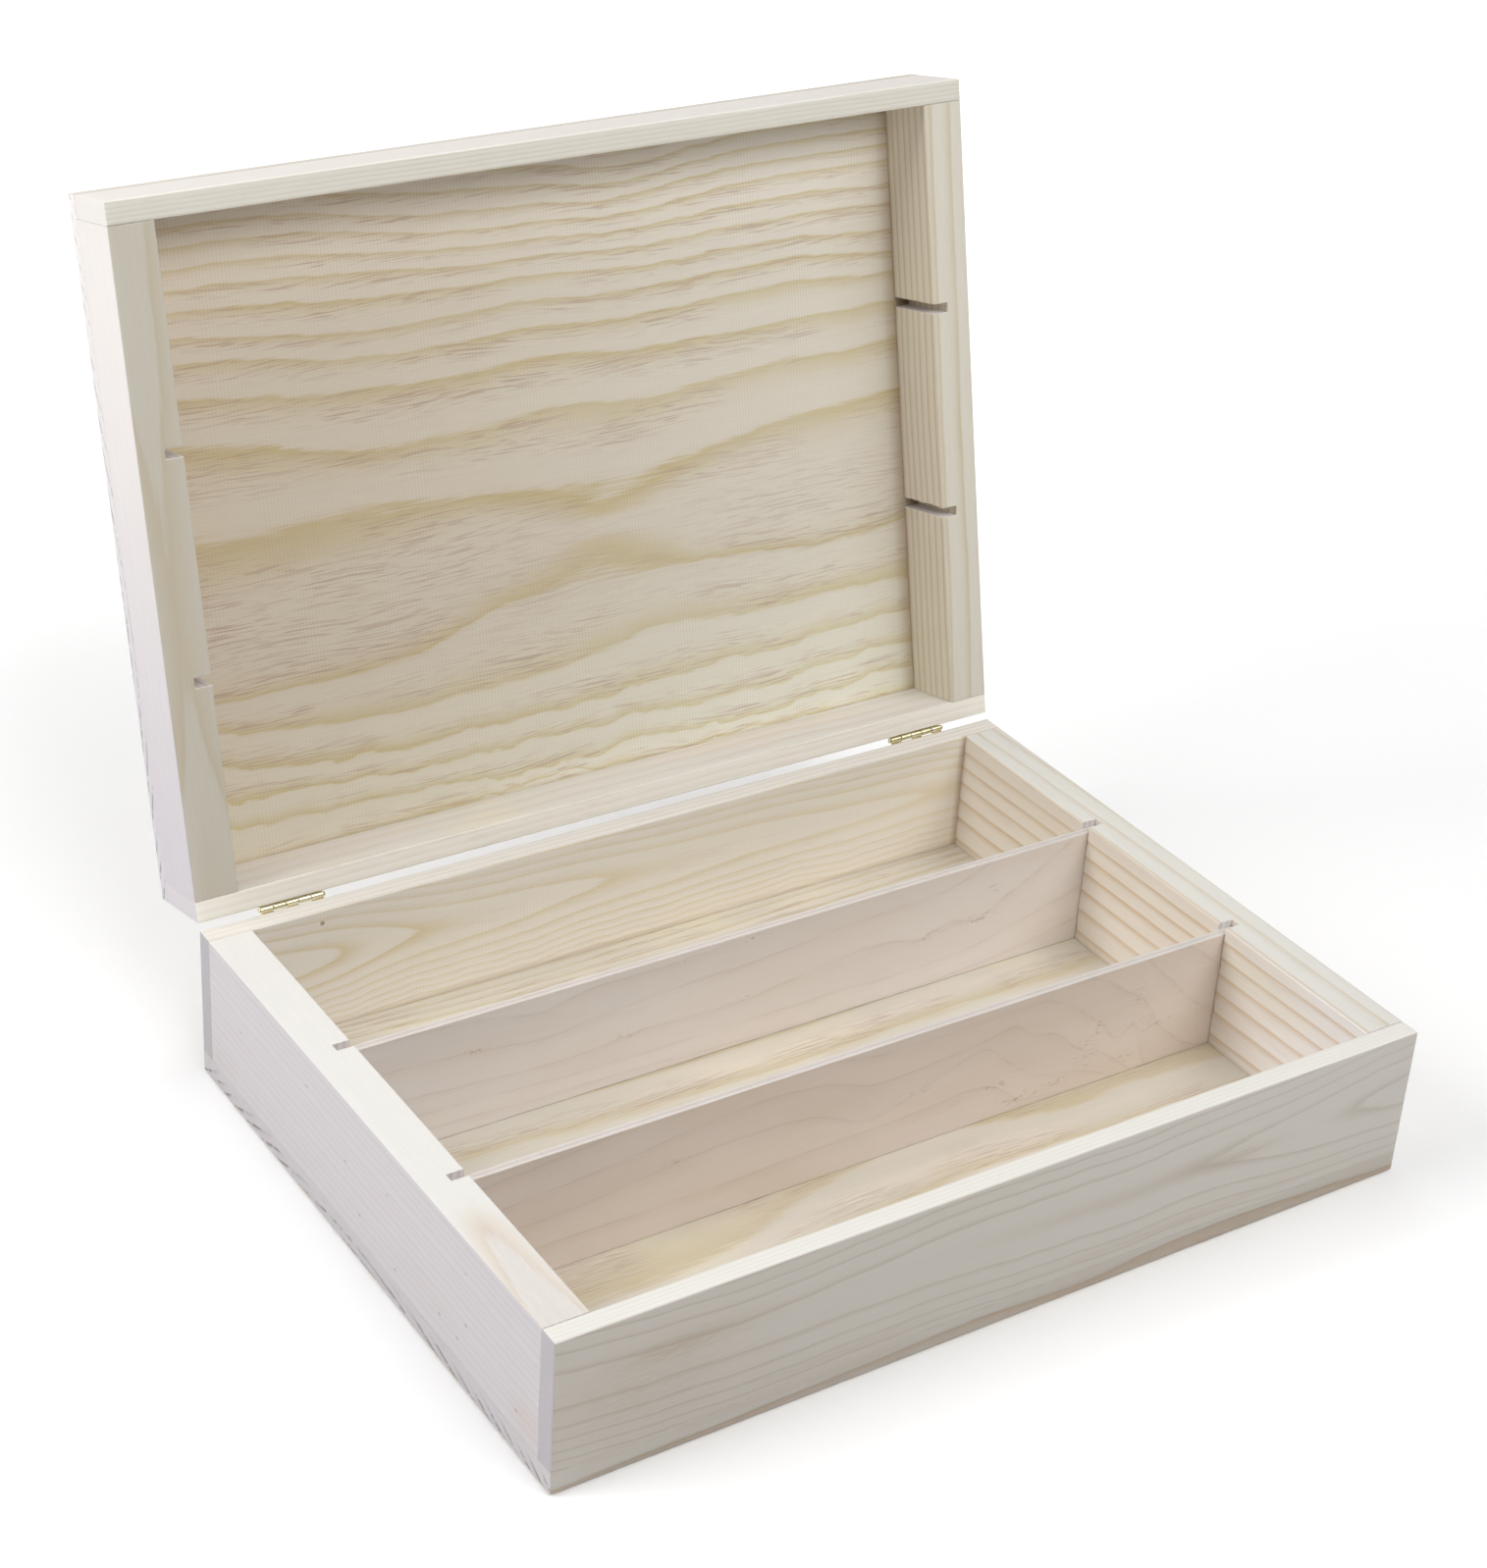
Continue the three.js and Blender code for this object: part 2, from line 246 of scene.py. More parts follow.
def board(name, lo, hi, body, mat, axes, step, edges, ring, stain=None, grooves=None, lid=False,
          chips=None, rims=()):
    """A board from lo to hi.  axes = (grain, across, through) as 0, 1, 2.  edges: list of
    (axis, side, side, radius).  ring and stain: {side: function(a, c, t)} with None as the default."""
    lo, hi = np.array(lo, float), np.array(hi, float)
    near = [[0.16, 0.16] for _ in range(3)]
    for ax, sb, sc, r in edges:
        for other, sd in (((ax + 1) % 3, sb), ((ax + 2) % 3, sc)):
            near[other][0 if sd < 0 else 1] = max(near[other][0 if sd < 0 else 1], r)
    fixed = [[], [], []]
    if grooves:
        side = grooves
        face = side * XI
        fixed[0] += [face + side * v for v in (0.12, 0.3, 0.55, 0.85)]
        fixed[0] += [face + side * (GROOVE_DEEP + v) for v in (-0.3, 0, 0.3)]
        for gy in GROOVE_Y:
            for s in (-1, 1):
                e = gy + s * GROOVE_W / 2
                fixed[1] += [e + s * v for v in (0, 0.15, 0.35, 0.6, 0.95)]
                fixed[1] += [e - s * 0.8]
    g = [cuts(lo[i], hi[i], near[i][0] * 1.25, near[i][1] * 1.25, step[i], fixed[i]) for i in range(3)]
    solid = None
    if grooves:
        mid = [(v[:-1] + v[1:]) / 2 for v in g]
        inx = (mid[0] * side > XI) & (mid[0] * side < XI + GROOVE_DEEP) if side > 0 else \
            (mid[0] < -XI) & (mid[0] > -XI - GROOVE_DEEP)
        iny = np.zeros(len(mid[1]), bool)
        for gy in GROOVE_Y:
            iny |= np.abs(mid[1] - gy) < GROOVE_W / 2
        solid = ~(inx[:, None, None] & iny[None, :, None] & np.ones(len(mid[2]), bool)[None, None, :])
    V, F, S = grid_solid(g[0], g[1], g[2], solid)
    seed = sum(ord(ch) for ch in name)
    # slow unevenness of sanded edges
    for n, (ax, sb, sc, r) in enumerate(edges):
        ib, ic = (ax + 1) % 3, (ax + 2) % 3
        b = (lo[ib], 1) if sb < 0 else (hi[ib], -1)
        c = (lo[ic], 1) if sc < 0 else (hi[ic], -1)
        soften(V, ax, b, c, lambda s, r=r, n=n: r * (1.15 + 0.06 * wob(s, 23, seed + n) + 0.03 * wob(s, 5, seed + 40 + n)))
    sharp = {(e[0], e[1], e[2]) for e in edges}
    for ax in range(3):
        for sb in (-1, 1):
            for sc in (-1, 1):
                if (ax, sb, sc) in sharp:
                    continue
                ib, ic = (ax + 1) % 3, (ax + 2) % 3
                b = (lo[ib], 1) if sb < 0 else (hi[ib], -1)
                c = (lo[ic], 1) if sc < 0 else (hi[ic], -1)
                soften(V, ax, b, c, 0.14)
    if grooves:
        rim_lo = lid
        zr = (lo[2], 1) if rim_lo else (hi[2], -1)
        for k, gy in enumerate(GROOVE_Y):
            for s in (-1, 1):
                e = gy + s * GROOVE_W / 2
                amp, floor_r, sd = chips[k]
                # torn fibres along the mouth of the sawn groove
                def torn(z, amp=amp, floor_r=floor_r, sd=sd + s):
                    n = 0.6 * wob(z, 3.1, seed + sd) + 0.45 * wob(z, 1.15, seed + sd + 9)
                    return floor_r + amp * np.clip(n + 0.12, 0, 1)
                # edge along z: other axes are x (b) then y (c)
                soften(V, 2, (side * XI, side), (e, s), torn)
                # edge along x at the rim: other axes are y (b) then z (c)
                xs0, xs1 = sorted((side * XI, side * (XI + GROOVE_DEEP)))
                soften(V, 0, (e, s), zr, 0.22, (xs0 - 0.2, xs1 + 0.2))
            # end wall of the groove at the rim: edge along y, other axes z (b) then x (c)
            soften(V, 1, zr, (side * (XI + GROOVE_DEEP), side), 0.2, (gy - GROOVE_W / 2, gy + GROOVE_W / 2))
    a, c, t = V[:, axes[0]], V[:, axes[1]], V[:, axes[2]]
    gc = np.stack([a, c, t], 1) * MM
    fa, fc, ft = a[F], c[F], t[F]
    rings, stains = np.zeros(F.shape), np.zeros(F.shape)
    for sd in np.unique(S):
        m = S == sd
        fn = ring.get(int(sd), ring[None])
        rings[m] = fn(fa[m], fc[m], ft[m])
        if stain and (int(sd) in stain or None in stain):
            stains[m] = stain.get(int(sd), stain.get(None))(fa[m], fc[m], ft[m])
    end = (np.abs(S) == axes[0] + 1).astype(float)
    rim_faces = np.isin(S, rims).astype(float)
    P = opened(V) if lid else V
    ob = mesh_object(name, P, F, mat)
    set_attributes(ob, gc, rings.ravel(), end, stains.ravel(), rim_faces)
    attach(ob, body)
    return ob


# ------------------------------------------------------------------ node helpers
class Nodes:
    def __init__(self, name):
        self.mat = bpy.data.materials.new(name)
        self.mat.use_nodes = True
        self.t = self.mat.node_tree
        self.t.nodes.clear()
        self.out = self.t.nodes.new("ShaderNodeOutputMaterial")

    def node(self, kind, **props):
        n = self.t.nodes.new(kind)
        for k, v in props.items():
            setattr(n, k, v)
        return n

    def put(self, socket, value):
        if value is None:
            return
        if isinstance(value, bpy.types.NodeSocket):
            self.t.links.new(value, socket)
        else:
            socket.default_value = value

    def math(self, op, a, b=None, c=None, clamp=False):
        n = self.node("ShaderNodeMath", operation=op, use_clamp=clamp)
        for s, v in zip(n.inputs, (a, b, c)):
            self.put(s, v)
        return n.outputs[0]

    def vmath(self, op, a, b=None):
        n = self.node("ShaderNodeVectorMath", operation=op)
        self.put(n.inputs[0], a)
        self.put(n.inputs[1], b)
        return n.outputs[0]

    def attr(self, name, out="Fac"):
        return self.node("ShaderNodeAttribute", attribute_name=name).outputs[out]

    def noise(self, vec, detail=2.0, rough=0.5, scale=1.0, dims="3D"):
        n = self.node("ShaderNodeTexNoise", noise_dimensions=dims)
        self.put(n.inputs["Vector"], vec)
        self.put(n.inputs["Scale"], scale)
        self.put(n.inputs["Detail"], detail)
        self.put(n.inputs["Roughness"], rough)
        return n.outputs["Fac"]

    def smooth(self, x, lo, hi, a=0.0, b=1.0):
        n = self.node("ShaderNodeMapRange", interpolation_type="SMOOTHSTEP")
        for i, v in enumerate((x, lo, hi, a, b)):
            self.put(n.inputs[i], v)
        return n.outputs[0]

    def linear(self, x, lo, hi, a=0.0, b=1.0):
        n = self.node("ShaderNodeMapRange", clamp=True)
        for i, v in enumerate((x, lo, hi, a, b)):
            self.put(n.inputs[i], v)
        return n.outputs[0]

    def mix(self, fac, a, b, blend="MIX"):
        n = self.node("ShaderNodeMix", data_type="RGBA", blend_type=blend)
        self.put(n.inputs[0], fac)
        self.put(n.inputs[6], a if isinstance(a, bpy.types.NodeSocket) else (*a, 1.0))
        self.put(n.inputs[7], b if isinstance(b, bpy.types.NodeSocket) else (*b, 1.0))
        return n.outputs[2]

    def ramp(self, x, stops, interp="LINEAR"):
        n = self.node("ShaderNodeValToRGB")
        self.put(n.inputs[0], x)
        cr = n.color_ramp
        cr.interpolation = interp
        while len(cr.elements) < len(stops):
            cr.elements.new(0.5)
        for e, (p, v) in zip(cr.elements, stops):
            e.position = p
            e.color = (v, v, v, 1) if not hasattr(v, "__len__") else (*v, 1)
        return n.outputs[0]

    def scaled(self, vec, sx, sy, sz, ox=0.0, oy=0.0, oz=0.0):
        n = self.node("ShaderNodeMapping", vector_type="POINT")
        self.put(n.inputs["Vector"], vec)
        n.inputs["Scale"].default_value = (sx, sy, sz)
        n.inputs["Location"].default_value = (ox, oy, oz)
        return n.outputs[0]


PINE = (0.80, 0.735, 0.635)
LATE = (0.66, 0.53, 0.33)


def wood(name, base=PINE, late=LATE, seed=0.0, late_amt=0.8, width=0.3, warp=0.10, jitter=0.05,
         fibre=0.05, fine=0.03, pore=0.35, pore_col=(0.47, 0.35, 0.28), pore_band=(0.45, 0.93), pore_cut=0.57,
         chatter=0.0, blotch=0.5, pink=(0.79, 0.69, 0.62), sand=(0.81, 0.75, 0.58), end_col=(0.74, 0.70, 0.69),
         end_late=(0.52, 0.45, 0.42), end_amt=0.5, stain_col=(0.66, 0.47, 0.33), stain_grain=0.5, dots=0.0,
         rough=0.62, bump=0.35, rim_base=None, rim_late=None, rim_gain=1.0, marks=(), everywhere=0.0,
         shade=(), ring_fade=None, pore_zone=False, end_line=False, end_painted_light=None):
    """Bare pine: growth rings from the ring attribute, fibres and pores from grain coordinates."""
    m = Nodes(name)
    gc = m.attr("gc", "Vector")
    P = m.vmath("SCALE", gc)
    P.node.inputs["Scale"].default_value = 1000.0
    P = m.vmath("ADD", P, (seed * 37.0, seed * 11.0, seed * 5.0))
    ring, end, stain, rim_faces = m.attr("ring"), m.attr("endg"), m.attr("stain"), m.attr("rim_faces")
    n_big = m.noise(m.scaled(P, 0.009, 0.035, 0.035), 2.0, 0.5)
    n_warp = m.noise(m.scaled(P, 0.03, 0.16, 0.16), 2.0, 0.55)
    n_fib = m.noise(m.scaled(P, 0.07, 2.1, 2.1), 3.0, 0.6)
    n_fine = m.noise(m.scaled(P, 0.35, 6.5, 6.5), 2.0, 0.6)
    r = m.math("MULTIPLY_ADD", m.math("SUBTRACT", n_warp, 0.5), warp * 2, ring)
    r = m.math("MULTIPLY_ADD", m.math("SUBTRACT", n_fib, 0.5), jitter * 2, r)
    f = m.math("FRACT", r)
    band = m.ramp(f, [(0.0, 0.55), (0.035, 0.12), (0.10, 0.02), (1 - width * 1.6, 0.03), (1 - width, 0.22),
                      (1 - width * 0.35, 0.72), (0.965, 1.0), (1.0, 0.62)])
    cut = m.math("MULTIPLY_ADD", n_big, 1.3, -0.05, clamp=True)
    amt = m.math("MULTIPLY", band, m.math("MULTIPLY_ADD", cut, late_amt * 0.75, late_amt * 0.5))
    if ring_fade is not None:
        amt = m.math("MULTIPLY", amt, m.smooth(r, ring_fade[0], ring_fade[1], 1.0, ring_fade[2]))
    if rim_gain != 1.0:
        amt = m.math("MULTIPLY", amt, m.math("MULTIPLY_ADD", rim_faces, rim_gain - 1.0, 1.0), clamp=True)
    # base tint drifts between cream, pink and sand
    n_t1 = m.noise(m.scaled(P, 0.012, 0.07, 0.07, 31, 7, 3), 2.0, 0.5)
    n_t2 = m.noise(m.scaled(P, 0.016, 0.05, 0.05, 3, 71, 9), 2.0, 0.5)
    col = m.mix(m.smooth(n_t1, 0.45, 0.72, 0.0, blotch), base, pink)
    col = m.mix(m.smooth(n_t2, 0.48, 0.75, 0.0, blotch), col, sand)
    # Rim faces take their own base and grain colours: partly the face's own colour, partly painted light and painted
    # shade set board by board for how the light falls on each rim.
    if rim_base is not None:
        col = m.mix(rim_faces, col, rim_base)
    col = m.mix(amt, col, late if rim_late is None else m.mix(rim_faces, late, rim_late))
    if stain_col is not None:
        grain = m.smooth(m.noise(m.scaled(P, 0.22, 1.3, 1.3, 9, 5, 2), 3.0, 0.6), 0.35, 0.65)
        sf = m.math("MULTIPLY", stain, m.math("MULTIPLY_ADD", grain, stain_grain, 1 - stain_grain), clamp=True)
        col = m.mix(sf, col, stain_col)
    # thin resin canals, mostly before the late wood
    if pore > 0:
        slant = m.noise(m.scaled(P, 0.012, 0.03, 0.03, 2, 2, 2), 1.0, 0.5)
        sepp = m.node("ShaderNodeSeparateXYZ")
        m.put(sepp.inputs[0], P)
        comp = m.node("ShaderNodeCombineXYZ")
        m.put(comp.inputs[0], sepp.outputs[0])
        m.put(comp.inputs[1], m.math("MULTIPLY_ADD", slant, 9.0, sepp.outputs[1]))
        m.put(comp.inputs[2], sepp.outputs[2])
        PS = comp.outputs[0]
        n_p = m.noise(m.scaled(PS, 0.055, 1.9, 1.9, 4, 4, 4), 1.0, 0.4)
        n_q = m.noise(m.scaled(PS, 0.10, 2.6, 2.6, 8, 2, 6), 1.0, 0.4)
        dash = m.math("MAXIMUM", m.smooth(n_p, pore_cut, pore_cut + 0.07), m.smooth(n_q, pore_cut + 0.01, pore_cut + 0.08))
        where = m.math("MULTIPLY", m.smooth(f, pore_band[0] - 0.25, pore_band[0] + 0.15),
                       m.smooth(f, pore_band[1], min(pore_band[1] + 0.06, 1.0), 1.0, 0.0))
        patch = m.smooth(m.noise(m.scaled(P, 0.02, 0.06, 0.06, 17, 3, 5), 1.0, 0.5), 0.34, 0.58)
        where = m.math("MULTIPLY_ADD", m.math("MULTIPLY", where, patch), 1.0 - everywhere, everywhere)
        if pore_zone:
            where = m.math("MAXIMUM", where, m.math("MULTIPLY", stain, m.smooth(patch, 0.0, 1.0, 0.55, 1.0)))
        dash = m.math("MULTIPLY", dash, m.math("MULTIPLY", where, m.math("SUBTRACT", 1.0, end)))
        col = m.mix(m.math("MULTIPLY", dash, pore), col, pore_col)
    if dots > 0:
        v = m.node("ShaderNodeTexVoronoi", feature="F1", voronoi_dimensions="3D")
        m.put(v.inputs["Vector"], m.scaled(P, 0.075, 0.13, 0.02))
        m.put(v.inputs["Scale"], 1.0)
        m.put(v.inputs["Randomness"], 1.0)
        dsel = m.smooth(v.outputs["Distance"], 0.03, 0.085, 1.0, 0.0)
        sep = m.node("ShaderNodeSeparateColor")
        m.put(sep.inputs[0], v.outputs["Color"])
        pick = m.smooth(sep.outputs[0], 0.05, 0.12)
        off = m.math("MULTIPLY", m.math("SUBTRACT", 1.0, rim_faces), m.math("SUBTRACT", 1.0, end))
        col = m.mix(m.math("MULTIPLY", m.math("MULTIPLY", dsel, pick), m.math("MULTIPLY", off, dots)), col, (0.42, 0.36, 0.34))
    for mark in marks:
        d = m.node("ShaderNodeVectorMath", operation="DISTANCE")
        m.put(d.inputs[0], gc)
        d.inputs[1].default_value = tuple(v * MM for v in mark[:3])
        col = m.mix(m.smooth(d.outputs["Value"], mark[3] * MM * 0.6, mark[3] * MM, mark[4], 0.0), col, (0.24, 0.16, 0.10))
    # painted light and shade: each entry (axis, position, direction, width, amount, face level, optional tint)
    # multiplies one face's colour by a tint that fades out over the width from the position; a dark tint is painted
    # shade in corners and under neighbouring boards, a tint above 1 is painted light
    for ax, pos, sg, wide, dark, level, *tint in shade:
        sep = m.node("ShaderNodeSeparateXYZ")
        m.put(sep.inputs[0], gc)
        d = m.math("MULTIPLY", m.math("SUBTRACT", sep.outputs[ax], pos * MM), float(sg))
        d = m.math("MULTIPLY_ADD", m.math("SUBTRACT", n_fib, 0.5), -0.0006, d)
        k = m.smooth(d, 0.0, wide * MM, dark, 0.0)
        on = m.smooth(m.math("ABSOLUTE", m.math("SUBTRACT", sep.outputs[2], level * MM)), 0.0002, 0.0006, 1.0, 0.0)
        col = m.mix(m.math("MULTIPLY", k, on), col, tint[0] if tint else (0.62, 0.50, 0.38), "MULTIPLY")
    # end grain: the rings as soft arcs or short dark marks, fine speckle
    if end_line:
        eband = m.ramp(f, [(0.0, 0.7), (0.07, 0.0), (0.62, 0.0), (0.82, 0.45), (0.93, 1.0), (1.0, 0.9)])
        eband = m.math("MULTIPLY", eband, m.smooth(m.noise(m.scaled(P, 0.5, 0.35, 0.6), 1.0, 0.5), 0.36, 0.52))
    else:
        eband = m.ramp(f, [(0.0, 0.25), (0.12, 0.0), (0.35, 0.05), (0.55, 0.35), (0.72, 0.95), (0.92, 1.0), (1.0, 0.4)])
    eamt = m.math("MULTIPLY", eband, m.math("MULTIPLY_ADD", n_warp, 0.9 * end_amt, 0.5 * end_amt))
    eamt = m.math("MULTIPLY", eamt, m.math("SUBTRACT", 1.0, stain), clamp=True)
    if end_painted_light is not None:
        # painted light: the end grain is paler, with fainter ring marks, along one long side of the board and fades
        # back towards the other: (axis, from, to, marks, tint)
        sep = m.node("ShaderNodeSeparateXYZ")
        m.put(sep.inputs[0], gc)
        g = m.smooth(sep.outputs[end_painted_light[0]], end_painted_light[1] * MM, end_painted_light[2] * MM, 1.0, 0.0)
        eamt = m.math("MULTIPLY", eamt, m.math("MULTIPLY_ADD", g, end_painted_light[3] - 1.0, 1.0))
        end_col = m.mix(g, end_col, end_painted_light[4])
    ecol = m.mix(eamt, end_col, end_late)
    speck = m.noise(m.scaled(P, 3.0, 3.0, 3.0), 2.0, 0.7)
    ecol = m.mix(m.smooth(speck, 0.5, 0.75, 0.0, 0.18), ecol, (0.40, 0.37, 0.37))
    col = m.mix(end, col, ecol)
    # fibre light and dark
    lum = m.math("MULTIPLY_ADD", m.math("SUBTRACT", n_fib, 0.5), fibre * 2, 1.0)
    lum = m.math("MULTIPLY_ADD", m.math("SUBTRACT", n_fine, 0.5), fine * 2, lum)
    if chatter > 0:
        sep = m.node("ShaderNodeSeparateXYZ")
        m.put(sep.inputs[0], P)
        drift = m.noise(m.scaled(P, 0.02, 0.006, 0.006, 5, 1, 1), 1.0, 0.5)
        phase = m.math("MULTIPLY_ADD", drift, 9.0, m.math("MULTIPLY", sep.outputs[0], 2 * math.pi / 1.17))
        wave = m.math("SINE", phase)
        cp = m.noise(m.scaled(P, 0.09, 0.02, 0.02, 2, 8, 1), 2.0, 0.5)
        lum = m.math("MULTIPLY_ADD", m.math("MULTIPLY", wave, m.smooth(cp, 0.3, 0.7)), chatter, lum)
    comb = m.node("ShaderNodeCombineColor")
    for s in comb.inputs:
        m.put(s, lum)
    col = m.mix(1.0, col, comb.outputs[0], "MULTIPLY")
    # surface
    h = m.math("MULTIPLY_ADD", n_fib, 0.5, m.math("MULTIPLY", n_fine, 0.35))
    h = m.math("MULTIPLY_ADD", band, 0.5, h)
    b = m.node("ShaderNodeBump")
    b.inputs["Strength"].default_value = bump
    b.inputs["Distance"].default_value = 0.00012
    m.put(b.inputs["Height"], h)
    bs = m.node("ShaderNodeBsdfPrincipled")
    m.put(bs.inputs["Base Color"], col)
    m.put(bs.inputs["Roughness"], m.math("MULTIPLY_ADD", n_fib, 0.16, rough - 0.08))
    bs.inputs["Specular IOR Level"].default_value = 0.22
    m.put(bs.inputs["Normal"], b.outputs[0])
    m.t.links.new(bs.outputs[0], m.out.inputs[0])
    return m.mat


def plywood(name, base, late, seed=0.0, line=0.5, dark=None):
    """Rotary-cut veneer: wide calm figure, hairline growth lines, rust flecks; three plies on its edges."""
    m = Nodes(name)
    gc = m.attr("gc", "Vector")
    P = m.vmath("SCALE", gc)
    P.node.inputs["Scale"].default_value = 1000.0
    P = m.vmath("ADD", P, (seed * 41.0, seed * 13.0, 0.0))
    ring, end, stain = m.attr("ring"), m.attr("endg"), m.attr("stain")
    n_big = m.noise(m.scaled(P, 0.014, 0.06, 0.06), 2.0, 0.5)
    n_warp = m.noise(m.scaled(P, 0.06, 0.2, 0.2), 3.0, 0.55)
    n_fib = m.noise(m.scaled(P, 0.11, 1.5, 1.5), 4.0, 0.65)
    n_fine = m.noise(m.scaled(P, 0.9, 5.0, 5.0), 2.0, 0.6)
    r = m.math("MULTIPLY_ADD", m.math("SUBTRACT", n_warp, 0.5), 0.16, ring)
    f = m.math("FRACT", r)
    hair = m.ramp(f, [(0.0, 0.75), (0.02, 0.15), (0.08, 0.0), (0.6, 0.0), (0.9, 0.28), (0.965, 0.55), (1.0, 1.0)])
    broken = m.smooth(m.noise(m.scaled(P, 0.05, 0.3, 0.3, 2, 9, 4), 2.0, 0.5), 0.32, 0.62, 0.35, 1.0)
    col = m.mix(m.smooth(n_big, 0.35, 0.68, 0.0, 0.75), base, late)
    col = m.mix(m.math("MULTIPLY", m.math("MULTIPLY", hair, broken), line), col, (0.42, 0.30, 0.22))
    step = m.smooth(m.math("FRACT", m.math("MULTIPLY", r, 0.5)), 0.0, 1.0, -0.5, 0.5)
    fleck = m.noise(m.scaled(P, 0.45, 1.1, 1.1, 6, 2, 8), 3.0, 0.6)
    fl = m.math("MULTIPLY", m.smooth(fleck, 0.53, 0.64), m.math("MULTIPLY", stain, 0.7), clamp=True)
    col = m.mix(fl, col, (0.36, 0.25, 0.15))
    # the sawn edges: pale face plies with a slightly darker core
    sep = m.node("ShaderNodeSeparateXYZ")
    m.put(sep.inputs[0], gc)
    core = m.smooth(m.math("ABSOLUTE", sep.outputs[2]), 0.00046, 0.00058, 1.0, 0.0)
    ecol = m.mix(core, (0.63, 0.59, 0.56), (0.56, 0.51, 0.475))
    ecol = m.mix(m.smooth(m.noise(m.scaled(P, 0.5, 2.0, 4.0), 3.0, 0.6), 0.45, 0.75, 0.0, 0.3), ecol, (0.45, 0.39, 0.35))
    col = m.mix(end, col, ecol)
    lum = m.math("MULTIPLY_ADD", m.math("SUBTRACT", n_fib, 0.5), 0.10, 1.0)
    lum = m.math("MULTIPLY_ADD", m.math("SUBTRACT", n_fine, 0.5), 0.05, lum)
    lum = m.math("MULTIPLY_ADD", step, 0.03, lum)
    comb = m.node("ShaderNodeCombineColor")
    for s in comb.inputs:
        m.put(s, lum)
    col = m.mix(1.0, col, comb.outputs[0], "MULTIPLY")
    b = m.node("ShaderNodeBump")
    b.inputs["Strength"].default_value = 0.25
    b.inputs["Distance"].default_value = 0.0001
    m.put(b.inputs["Height"], m.math("MULTIPLY_ADD", n_fine, 0.4, n_fib))
    bs = m.node("ShaderNodeBsdfPrincipled")
    m.put(bs.inputs["Base Color"], col)
    m.put(bs.inputs["Roughness"], m.math("MULTIPLY_ADD", n_fib, 0.18, 0.44))
    bs.inputs["Specular IOR Level"].default_value = 0.3
    m.put(bs.inputs["Normal"], b.outputs[0])
    m.t.links.new(bs.outputs[0], m.out.inputs[0])
    return m.mat


def brass_material(name):
    m = Nodes(name)
    tc = m.node("ShaderNodeTexCoord").outputs["Object"]
    n1 = m.noise(m.scaled(tc, 900, 900, 900), 3.0, 0.6)
    n2 = m.noise(m.scaled(tc, 220, 220, 220, 3, 1, 2), 2.0, 0.5)
    n3 = m.noise(m.scaled(tc, 260, 5200, 5200), 2.0, 0.6)
    col = m.mix(m.smooth(n2, 0.35, 0.7), (0.76, 0.69, 0.43), (0.88, 0.83, 0.61))
    col = m.mix(m.smooth(n1, 0.55, 0.75, 0.0, 0.5), col, (0.46, 0.41, 0.25))
    b = m.node("ShaderNodeBump")
    b.inputs["Strength"].default_value = 0.25
    b.inputs["Distance"].default_value = 0.00006
    m.put(b.inputs["Height"], n3)
    bs = m.node("ShaderNodeBsdfPrincipled")
    m.put(bs.inputs["Base Color"], col)
    bs.inputs["Metallic"].default_value = 1.0
    m.put(bs.inputs["Roughness"], m.math("MULTIPLY_ADD", n1, 0.20, 0.20))
    m.put(bs.inputs["Normal"], b.outputs[0])
    m.t.links.new(bs.outputs[0], m.out.inputs[0])
    return m.mat


# ------------------------------------------------------------------ growth figures
XP, XN, YP, YN, ZP, ZN = 1, -1, 2, -2, 3, -3

